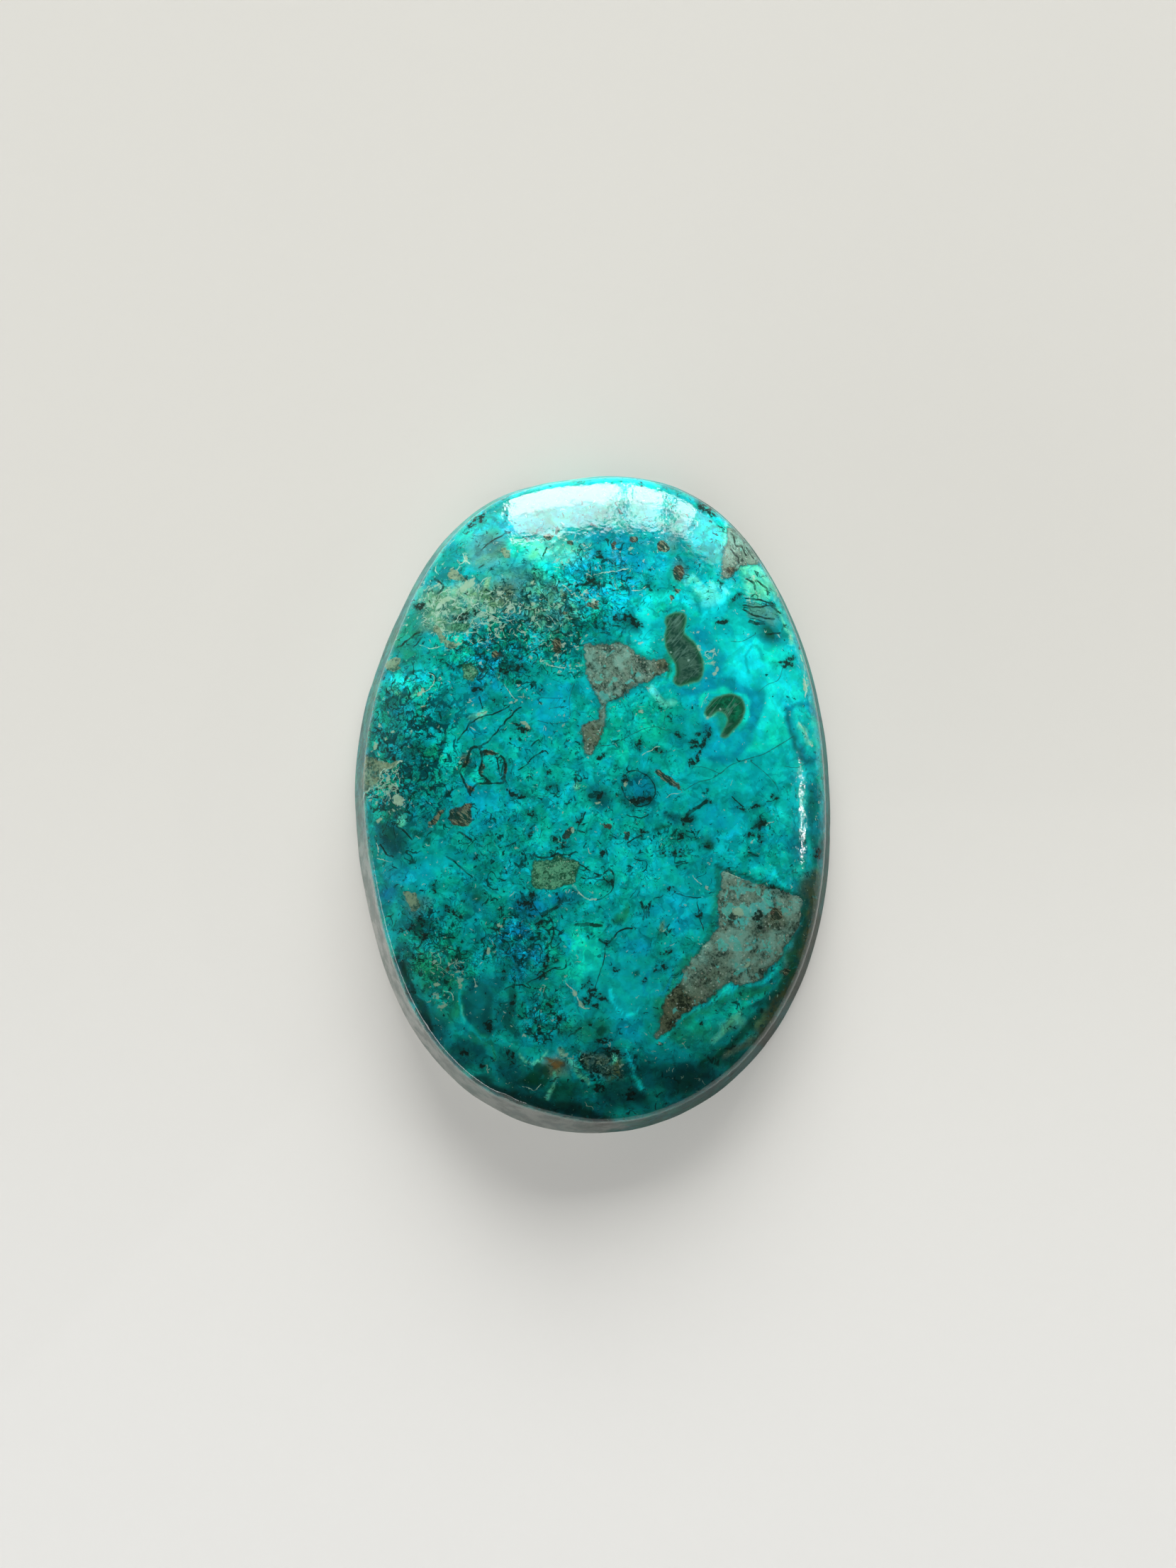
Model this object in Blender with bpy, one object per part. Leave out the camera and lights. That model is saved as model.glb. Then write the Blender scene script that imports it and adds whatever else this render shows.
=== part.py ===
"""A hand-cut oval of chrysocolla: a low polished dome on a leaning wall, with a flat back.

One stone is one solid. It lies on its back: +Z is up out of the domed face, +Y runs along the
length, and the origin is under the middle of the stone, in the plane of the flat back.
"""

import math

import bmesh
import bpy
from mathutils import Vector

# Driving dimensions, in metres.
LENGTH = 0.0440
WIDTH = 0.0317
THICKNESS = 0.0070
EDGE_HEIGHT = 0.0036  # where the wall meets the dome
GIRDLE_HEIGHT = 0.0008  # where the stone is widest, above the back
BACK_ROUNDING = 0.0006  # how far the back's rim is drawn in from the girdle
WALL_LEAN = 0.00068  # how far the wall leans in between the girdle and the dome's edge
EDGE_EASING = 0.00035  # width of the worn edge between wall and dome

# The plan is a fullish oval. Each swell is (direction in degrees, share of the radius, spread in
# degrees): where the stone was ground a little full or a little flat.
OVAL_POWER = 2.12
PLAN_SWELLS = (
    (60, 0.023, 19),
    (98, -0.012, 12),
    (148, -0.027, 17),
    (200, -0.018, 17),
    (330, 0.022, 28),
)

# The dome is flattest in the middle and falls fastest at the shoulder. The shoulder is round at
# the right and the upper end and stays a crisp edge at the lower left.
DOME_POWER = 3.6
SHOULDER_ROUNDNESS = 1.22
SHOULDER_CRISPNESS = 0.20
CRISP_DIRECTION = 215
# The edge lies a little lower on one side of the stone: how much, and towards which direction.
EDGE_DIP = 0.00025
EDGE_DIP_DIRECTION = 40
# A wider facet of the wall, ground at the lower end: direction, how much higher it reaches, spread.
WALL_FACET = (257, 0.0007, 12)
# A small chip in the edge where that facet begins: direction, then its half width, depth and height.
CHIP_DIRECTION = 248
CHIP_HALF_SIZES = (0.00075, 0.00038, 0.00050)
CHIP_OFFSET = 0.00012  # how far outside the edge its middle lies

# Mesh density: squares along each side of the face, and bands down the wall.
FACE_SQUARES = 44
WALL_BANDS = 8
ROUNDING_STARTS = 0.5  # the share of the wall's bands above the rounding of the back's rim
EDGE_CROWDING = 0.25  # how much closer together the face's rings lie towards the edge
EASING_SEGMENTS = 2
SHARP_ANGLE = 30  # degrees

STONE_COLOUR = (0.010, 0.300, 0.310, 1.0)
STONE_ROUGHNESS = 0.18


def clear_scene():
    for thing in list(bpy.data.objects):
        bpy.data.objects.remove(thing)


def swell(angle, direction, amount, spread):
    """A bump of this amount round one direction, all angles in degrees."""
    apart = (angle - direction + 180) % 360 - 180
    return amount * math.exp(-((apart / spread) ** 2))


def oval_point(angle):
    """A point of the plan's outline before it is brought to size, at an angle in degrees."""
    across, along = math.cos(math.radians(angle)), math.sin(math.radians(angle))
    share = (abs(across) ** OVAL_POWER + abs(along) ** OVAL_POWER) ** (-1 / OVAL_POWER)
    share += sum(swell(angle, *values) for values in PLAN_SWELLS)
    return Vector((share * across * WIDTH / 2, share * along * LENGTH / 2))


def plan_fit():
    """The middle of the oval's box, and what brings that box to WIDTH by LENGTH."""
    points = [oval_point(angle) for angle in range(360)]
    low = Vector((min(p.x for p in points), min(p.y for p in points)))
    high = Vector((max(p.x for p in points), max(p.y for p in points)))
    size = high - low
    return (low + high) / 2, Vector((WIDTH / size.x, LENGTH / size.y))


PLAN_MIDDLE, PLAN_SCALE = plan_fit()


def girdle_point(angle):
    """A point of the stone's widest outline, at an angle in degrees."""
    return (oval_point(angle) - PLAN_MIDDLE) * PLAN_SCALE


def towards(angle, direction):
    """1 in this direction, 0 in the opposite one, and a smooth change between them."""
    return 0.5 + 0.5 * math.cos(math.radians(angle - direction))


def edge_height(angle):
    dip = EDGE_DIP * (2 * towards(angle, EDGE_DIP_DIRECTION) - 1)
    return EDGE_HEIGHT - dip + swell(angle, *WALL_FACET)


def drawn_in(angle, inset):
    """The girdle's point at this angle, moved towards the middle by inset."""
    point = girdle_point(angle)
    return point * (1 - inset / point.length)


def wall_lean(angle):
    """The wall keeps its slope where a facet carries it higher."""
    return WALL_LEAN * (edge_height(angle) / EDGE_HEIGHT) ** 2


def face_point(angle, ring):
    """A point of the domed face. ring is 0 in the middle and 1 at the edge."""
    reach = (1 + EDGE_CROWDING) * ring - EDGE_CROWDING * ring**3
    roundness = SHOULDER_ROUNDNESS - SHOULDER_CRISPNESS * towards(angle, CRISP_DIRECTION)
    edge = edge_height(angle)
    rise = (1 - min(reach, 1.0) ** DOME_POWER) ** (1 / roundness)
    plan = drawn_in(angle, wall_lean(angle)) * reach
    return Vector((*plan, edge + (THICKNESS - edge) * rise))


def wall_point(angle, down):
    """A point of the wall. down is 0 at the dome's edge and 1 at the back."""
    edge = edge_height(angle)
    if down <= ROUNDING_STARTS:
        share = down / ROUNDING_STARTS
        inset = wall_lean(angle) * (1 - share)
        height = edge + (GIRDLE_HEIGHT - edge) * share
    else:
        turn = (down - ROUNDING_STARTS) / (1 - ROUNDING_STARTS) * math.pi / 2
        inset = BACK_ROUNDING * (1 - math.cos(turn))
        height = GIRDLE_HEIGHT * (1 - math.sin(turn))
    return Vector((*drawn_in(angle, inset), height))


def square_to_round(x, y):
    """Turns a point of the square from -1 to 1 into (angle in degrees, ring), square by square."""
    ring = max(abs(x), abs(y))
    if ring == 0:
        return 0.0, 0.0
    if abs(x) >= abs(y):
        angle = 45 * y / x + (0 if x > 0 else 180)
    else:
        angle = 90 - 45 * x / y + (0 if y > 0 else 180)
    return angle, ring


def stone_cage():
    """A block with a square face of FACE_SQUARES, WALL_BANDS down its sides and an open back.

    Returns it with the edges round its face.
    """
    cage = bmesh.new()
    bmesh.ops.create_grid(cage, x_segments=FACE_SQUARES, y_segments=FACE_SQUARES, size=1)
    face_rim = [edge for edge in cage.edges if edge.is_boundary]
    for _ in range(WALL_BANDS):
        rim = [edge for edge in cage.edges if edge.is_boundary]
        made = bmesh.ops.extrude_edge_only(cage, edges=rim)["geom"]
        lower = [item for item in made if isinstance(item, bmesh.types.BMVert)]
        bmesh.ops.translate(cage, verts=lower, vec=(0, 0, -1 / WALL_BANDS))
    return cage, face_rim


def make_stone(collection):
    stone, face_rim = stone_cage()
    for vertex in stone.verts:
        angle, ring = square_to_round(vertex.co.x, vertex.co.y)
        on_face = vertex.co.z > -0.5 / WALL_BANDS
        vertex.co = face_point(angle, ring) if on_face else wall_point(angle, -vertex.co.z)
    bmesh.ops.holes_fill(stone, edges=[edge for edge in stone.edges if edge.is_boundary])
    bmesh.ops.bevel(
        stone,
        geom=face_rim,
        offset=EDGE_EASING / 2,
        segments=EASING_SEGMENTS,
        profile=0.5,
        affect="EDGES",
        material=-1,
    )
    bmesh.ops.recalc_face_normals(stone, faces=stone.faces)
    mesh = bpy.data.meshes.new("polished_stone")
    stone.to_mesh(mesh)
    stone.free()
    mesh.shade_smooth()
    mesh.set_sharp_from_angle(angle=math.radians(SHARP_ANGLE))
    mesh.materials.append(stone_material())
    thing = bpy.data.objects.new("polished_stone", mesh)
    collection.objects.link(thing)
    return thing


def make_chip_cutter(collection):
    """The scoop that the chip leaves, with its flat side along the edge."""
    scoop = bmesh.new()
    bmesh.ops.create_icosphere(scoop, subdivisions=3, radius=1.0)
    bmesh.ops.scale(scoop, verts=scoop.verts, vec=CHIP_HALF_SIZES)
    mesh = bpy.data.meshes.new("edge_chip")
    scoop.to_mesh(mesh)
    scoop.free()
    cutter = bpy.data.objects.new("edge_chip", mesh)
    edge = face_point(CHIP_DIRECTION, 1.0)
    outwards = edge.to_2d().normalized()
    cutter.location = edge + outwards.to_3d() * CHIP_OFFSET
    cutter.rotation_euler.z = math.atan2(outwards.y, outwards.x) - math.pi / 2
    cutter.hide_render = True
    cutter.display_type = "WIRE"
    collection.objects.link(cutter)
    return cutter


def cut_away(thing, cutter):
    cut = thing.modifiers.new(cutter.name, "BOOLEAN")
    cut.operation = "DIFFERENCE"
    cut.object = cutter


def stone_material():
    material = bpy.data.materials.new("chrysocolla")
    material.use_nodes = True
    shader = material.node_tree.nodes["Principled BSDF"]
    shader.inputs["Base Color"].default_value = STONE_COLOUR
    shader.inputs["Roughness"].default_value = STONE_ROUGHNESS
    shader.inputs["Metallic"].default_value = 0.0
    return material


def main():
    clear_scene()
    specimen = bpy.data.collections.new("chrysocolla_specimen")
    cutters = bpy.data.collections.new("cutters")
    for collection in (specimen, cutters):
        bpy.context.scene.collection.children.link(collection)
    stone = make_stone(specimen)
    cut_away(stone, make_chip_cutter(cutters))


main()
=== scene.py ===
"""The looks of a hand-cut chrysocolla oval: its polished surface, its markings, light, floor and view.

Lengths on the stone are in millimetres where a name says mm, and in metres everywhere else.
"""

import math

import bmesh
import bpy
import numpy as np
from mathutils import Matrix, Vector


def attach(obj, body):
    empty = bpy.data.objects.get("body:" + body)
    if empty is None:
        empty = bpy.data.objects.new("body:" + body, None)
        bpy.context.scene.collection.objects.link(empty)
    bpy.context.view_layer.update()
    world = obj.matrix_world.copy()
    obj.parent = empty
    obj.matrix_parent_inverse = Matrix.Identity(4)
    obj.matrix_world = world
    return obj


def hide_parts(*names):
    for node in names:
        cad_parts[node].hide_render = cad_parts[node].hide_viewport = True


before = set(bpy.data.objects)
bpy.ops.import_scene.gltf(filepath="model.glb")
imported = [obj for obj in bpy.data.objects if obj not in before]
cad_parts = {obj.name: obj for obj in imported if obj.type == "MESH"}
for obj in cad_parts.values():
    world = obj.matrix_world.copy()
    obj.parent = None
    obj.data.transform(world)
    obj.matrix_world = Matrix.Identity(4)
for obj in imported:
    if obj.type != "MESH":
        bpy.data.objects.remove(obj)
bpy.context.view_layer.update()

MM = 1000.0  # millimetres in a metre

# ---------------------------------------------------------------- the stone's shape, in metres

LENGTH = 0.0440
WIDTH = 0.0317
THICKNESS = 0.0070
EDGE_HEIGHT = 0.0036  # where the wall meets the dome
GIRDLE_HEIGHT = 0.0008  # where the stone is widest, above the back
BACK_ROUNDING = 0.0006  # how far the back's rim is drawn in from the girdle
WALL_LEAN = 0.00068  # how far the wall leans in between the girdle and the dome's edge

OVAL_POWER = 2.12  # 2 is an ellipse, and more is squarer
PLAN_SWELLS = (  # direction in degrees, share of the half width, spread in degrees
    (60, 0.023, 19),
    (98, -0.012, 12),
    (148, -0.027, 17),
    (200, -0.018, 17),
    (330, 0.022, 28),
)
DOME_POWER = 3.6  # more is a flatter top
SHOULDER_ROUNDNESS = 1.22
SHOULDER_CRISPNESS = 0.20  # how much less round the shoulder is on its crisp side
CRISP_DIRECTION = 215
EDGE_DIP = 0.00025  # how far the edge sinks on its low side
EDGE_DIP_DIRECTION = 40
WALL_FACET = (257, 0.0007, 12)  # direction, height above the edge, spread
CHIP_DIRECTION = 248
CHIP_HALF_SIZES = (0.00075, 0.00038, 0.00050)  # along the edge, outwards and up
CHIP_OFFSET = 0.00012  # outside the edge

# The finished surface lies this far inside the rough-cut solid.
POLISHED_AWAY = 0.00002
EASING_ROUNDS = 10  # how often the edge is smoothed over
EASED_FROM = 0.975  # the ring of the face from where the edge is smoothed
WAVE_HEIGHT = 0.000040  # the hand-ground face isn't quite true
WAVE_SIZE = 7.0  # mm
GIRTH = 118  # mm: the way round the stone
RIM_NICKS = 26
RIM_NICK_SIZES = (0.00045, 0.00110)
RIM_NICK_LEVELS = (0.80, 0.95)  # down the wall
RIM_NICK_DEPTH = 0.11  # as a share of its size

# Mesh: squares along each side of the back, and bands up the wall. The face is split twice as fine.
BACK_SQUARES = 112
WALL_BANDS = 12
ROUNDING_STARTS = 0.5  # down the wall, where it starts to round into the back
EDGE_CROWDING = 0.25  # how much closer the face's rings lie at its edge


def swell(angle, direction, amount, spread):
    """A bump of this amount round one direction, all angles in degrees."""
    apart = (angle - direction + 180) % 360 - 180
    return amount * np.exp(-((apart / spread) ** 2))


def oval_points(angle):
    across, along = np.cos(np.radians(angle)), np.sin(np.radians(angle))
    share = (np.abs(across) ** OVAL_POWER + np.abs(along) ** OVAL_POWER) ** (-1 / OVAL_POWER)
    share = share + sum(swell(angle, *values) for values in PLAN_SWELLS)
    return np.stack((share * across * WIDTH / 2, share * along * LENGTH / 2), axis=-1)


def plan_fit():
    points = oval_points(np.arange(360.0))
    low, high = points.min(axis=0), points.max(axis=0)
    return (low + high) / 2, np.array((WIDTH, LENGTH)) / (high - low)


PLAN_MIDDLE, PLAN_SCALE = plan_fit()


def drawn_in(angle, inset):
    """The girdle's points at these angles, moved towards the middle by inset."""
    points = (oval_points(angle) - PLAN_MIDDLE) * PLAN_SCALE
    far = np.linalg.norm(points, axis=-1)
    return points * (1 - (inset + POLISHED_AWAY) / far)[..., None]


def towards(angle, direction):
    """1 in this direction, 0 in the opposite one, and a smooth change between them."""
    return 0.5 + 0.5 * np.cos(np.radians(angle - direction))


def edge_height(angle):
    dip = EDGE_DIP * (2 * towards(angle, EDGE_DIP_DIRECTION) - 1)
    return EDGE_HEIGHT - dip + swell(angle, *WALL_FACET)


def wall_lean(angle):
    return WALL_LEAN * (edge_height(angle) / EDGE_HEIGHT) ** 2


def face_points(angle, ring):
    """Points of the domed face. ring is 0 in the middle and 1 at the edge."""
    reach = np.clip((1 + EDGE_CROWDING) * ring - EDGE_CROWDING * ring**3, 0, 1)
    roundness = SHOULDER_ROUNDNESS - SHOULDER_CRISPNESS * towards(angle, CRISP_DIRECTION)
    edge = edge_height(angle)
    rise = (1 - reach**DOME_POWER) ** (1 / roundness)
    plan = drawn_in(angle, wall_lean(angle)) * reach[:, None]
    height = edge + (THICKNESS - POLISHED_AWAY - edge) * rise
    return np.column_stack((plan, height))


def wall_points(angle, down):
    """Points of the wall. down is 0 at the dome's edge and 1 at the back."""
    edge = edge_height(angle)
    share = np.clip(down / ROUNDING_STARTS, 0, 1)
    turn = np.clip((down - ROUNDING_STARTS) / (1 - ROUNDING_STARTS), 0, 1) * math.pi / 2
    straight = down <= ROUNDING_STARTS
    inset = np.where(straight, wall_lean(angle) * (1 - share), BACK_ROUNDING * (1 - np.cos(turn)))
    rounding = GIRDLE_HEIGHT * (1 - np.sin(turn))
    height = np.where(straight, edge + (GIRDLE_HEIGHT - edge) * share, rounding)
    return np.column_stack((drawn_in(angle, inset), height))


def back_points(angle, ring):
    """Points of the flat back."""
    plan = drawn_in(angle, np.full_like(angle, BACK_ROUNDING)) * ring[:, None]
    return np.column_stack((plan, np.zeros_like(angle)))


def square_to_round(x, y):
    """Turns points of the square from -1 to 1 into (angle in degrees, ring)."""
    ring = np.maximum(np.abs(x), np.abs(y))
    wide = np.abs(x) >= np.abs(y)
    longer = np.where(wide, x, y)
    longer = np.where(longer == 0, 1, longer)
    shorter = np.where(wide, y, -x)
    start = np.where(wide, 0, 90) + np.where(longer > 0, 0, 180)
    return start + 45 * shorter / longer, ring


# ---------------------------------------------------------------- the stone's mesh


def stone_cage():
    """A block 2 wide and 1 high. Its back is one even grid, and its face and walls twice as fine."""
    cage = bmesh.new()
    bmesh.ops.create_grid(cage, x_segments=BACK_SQUARES, y_segments=BACK_SQUARES, size=1)
    back = list(cage.faces)
    for _ in range(WALL_BANDS):
        rim = [edge for edge in cage.edges if edge.is_boundary]
        raise_copy(cage, bmesh.ops.extrude_edge_only(cage, edges=rim)["geom"], 1 / WALL_BANDS)
    raise_copy(cage, bmesh.ops.duplicate(cage, geom=back)["geom"], 1)
    bmesh.ops.remove_doubles(cage, verts=cage.verts, dist=0.2 / BACK_SQUARES)
    above = [edge for edge in cage.edges if max(vertex.co.z for vertex in edge.verts) > 1e-3]
    bmesh.ops.subdivide_edges(cage, edges=above, cuts=1, use_grid_fill=True)
    bmesh.ops.recalc_face_normals(cage, faces=cage.faces)
    return cage


def raise_copy(cage, made, height):
    upper = [item for item in made if isinstance(item, bmesh.types.BMVert)]
    bmesh.ops.translate(cage, verts=upper, vec=(0, 0, height))


def scooped(points, middle, outwards, half_sizes):
    """Pushes the points inside a small ellipsoid out to its far side, as a chip would leave them."""
    side = np.array((-outwards[1], outwards[0]))
    apart = points - middle
    local = np.column_stack((apart[:, :2] @ side, apart[:, :2] @ outwards, apart[:, 2]))
    local /= half_sizes
    far = np.linalg.norm(local, axis=1)
    inside = (far < 1) & (far > 1e-6)
    points[inside] = middle + apart[inside] / far[inside, None]


def make_edge_chip(points):
    edge = face_points(np.array([float(CHIP_DIRECTION)]), np.array([1.0]))[0]
    outwards = edge[:2] / np.linalg.norm(edge[:2])
    middle = edge + np.array((*outwards, 0)) * CHIP_OFFSET
    scooped(points, middle, outwards, CHIP_HALF_SIZES)


def make_rim_nicks(points):
    """Shallow dents that the saw and the lap left round the back's rim."""
    draw = np.random.RandomState(5)
    for _ in range(RIM_NICKS):
        angle = np.array([draw.uniform(0, 360)])
        edge = wall_points(angle, np.array([draw.uniform(*RIM_NICK_LEVELS)]))[0]
        outwards = edge[:2] / np.linalg.norm(edge[:2])
        radius = draw.uniform(*RIM_NICK_SIZES)
        far = np.linalg.norm(points - edge, axis=1) / radius
        depth = RIM_NICK_DEPTH * radius * np.clip(1 - far**2, 0, 1) ** 2
        points[:, :2] -= outwards * depth[:, None]
        points[:, 2] += 0.5 * depth


def grind_by_hand(points, angle, ring, on_face, on_back):
    """Lowers the face and the wall a little here and there, as hand grinding leaves them."""
    plan = points[:, :2] * MM
    broad = 0.5 + 0.5 * ripple(plan, WAVE_SIZE, 3)
    deep = WAVE_HEIGHT * np.clip(broad, 0, 1) * eased(1 - ring, 0.0, 0.1)
    points[on_face, 2] -= deep[on_face]
    on_wall = ~on_face & ~on_back
    round_it = np.column_stack((angle / 360 * GIRTH, points[:, 2] * MM))
    inset = WAVE_HEIGHT * np.clip(0.5 + 0.5 * ripple(round_it, WAVE_SIZE / 2, 7), 0, 1)
    inset /= np.maximum(np.linalg.norm(points[:, :2], axis=1), 1e-3)
    points[on_wall, :2] *= 1 - inset[on_wall, None]


def ease_edge(mesh, chosen):
    """Rubs the edge between face and wall down to a soft line."""
    worn = bmesh.new()
    worn.from_mesh(mesh)
    worn.verts.ensure_lookup_table()
    near_edge = [worn.verts[i] for i in np.flatnonzero(chosen)]
    every_way = {"use_axis_x": True, "use_axis_y": True, "use_axis_z": True}
    for _ in range(EASING_ROUNDS):
        bmesh.ops.smooth_vert(worn, verts=near_edge, factor=0.5, **every_way)
    worn.to_mesh(mesh)
    worn.free()


def places_of(mesh):
    places = np.zeros(len(mesh.vertices) * 3)
    mesh.vertices.foreach_get("co", places)
    return places.reshape(-1, 3)


def make_stone():
    cage = stone_cage()
    mesh = bpy.data.meshes.new("polished_stone")
    cage.to_mesh(mesh)
    cage.free()
    square = places_of(mesh)
    angle, ring = square_to_round(square[:, 0], square[:, 1])
    on_face = square[:, 2] > 1 - 0.2 / WALL_BANDS
    on_back = square[:, 2] < 0.2 / WALL_BANDS
    points = wall_points(angle, 1 - square[:, 2])
    points[on_face] = face_points(angle[on_face], ring[on_face])
    points[on_back] = back_points(angle[on_back], ring[on_back])
    grind_by_hand(points, angle, ring, on_face, on_back)
    make_edge_chip(points)
    make_rim_nicks(points)
    mesh.vertices.foreach_set("co", points.ravel())
    ease_edge(mesh, (square[:, 2] > 1 - 2.2 / WALL_BANDS) & (ring > EASED_FROM))
    points = places_of(mesh)
    down = np.where(on_face, 5 * (ring - 1), 1 - square[:, 2])
    back = np.where(on_back, eased(1 - ring, 0.0, 0.12), 0.0)
    lay_markings(mesh, points, down, back)
    mesh.shade_smooth()
    mesh.update()
    return show(bpy.data.objects.new("chrysocolla_stone", mesh))


# ---------------------------------------------------------------- the stone's markings
#
# Places on the face are in millimetres to the right of and above the stone's middle, as it is
# looked at. Colours are linear.

PALETTE = {
    "pale aqua": (0.11, 0.79, 0.75),
    "aqua": (0.004, 0.61, 0.63),
    "turquoise": (0.002, 0.44, 0.44),
    "green turquoise": (0.003, 0.55, 0.44),
    "azure": (0.002, 0.40, 0.51),
    "blue teal": (0.002, 0.24, 0.32),
    "blue": (0.002, 0.15, 0.26),
    "teal": (0.002, 0.31, 0.31),
    "deep teal": (0.003, 0.15, 0.16),
    "dark teal": (0.003, 0.083, 0.088),
    "sea green": (0.007, 0.23, 0.15),
    "dark green": (0.003, 0.061, 0.036),
    "black green": (0.003, 0.015, 0.012),
    "mint": (0.099, 0.55, 0.41),
    "olive": (0.12, 0.27, 0.155),
    "pale olive": (0.21, 0.40, 0.265),
    "grey teal": (0.061, 0.24, 0.22),
    "grey green": (0.11, 0.29, 0.22),
    "grey brown": (0.11, 0.15, 0.10),
    "brown": (0.061, 0.066, 0.031),
    "rust": (0.13, 0.068, 0.020),
}

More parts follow.
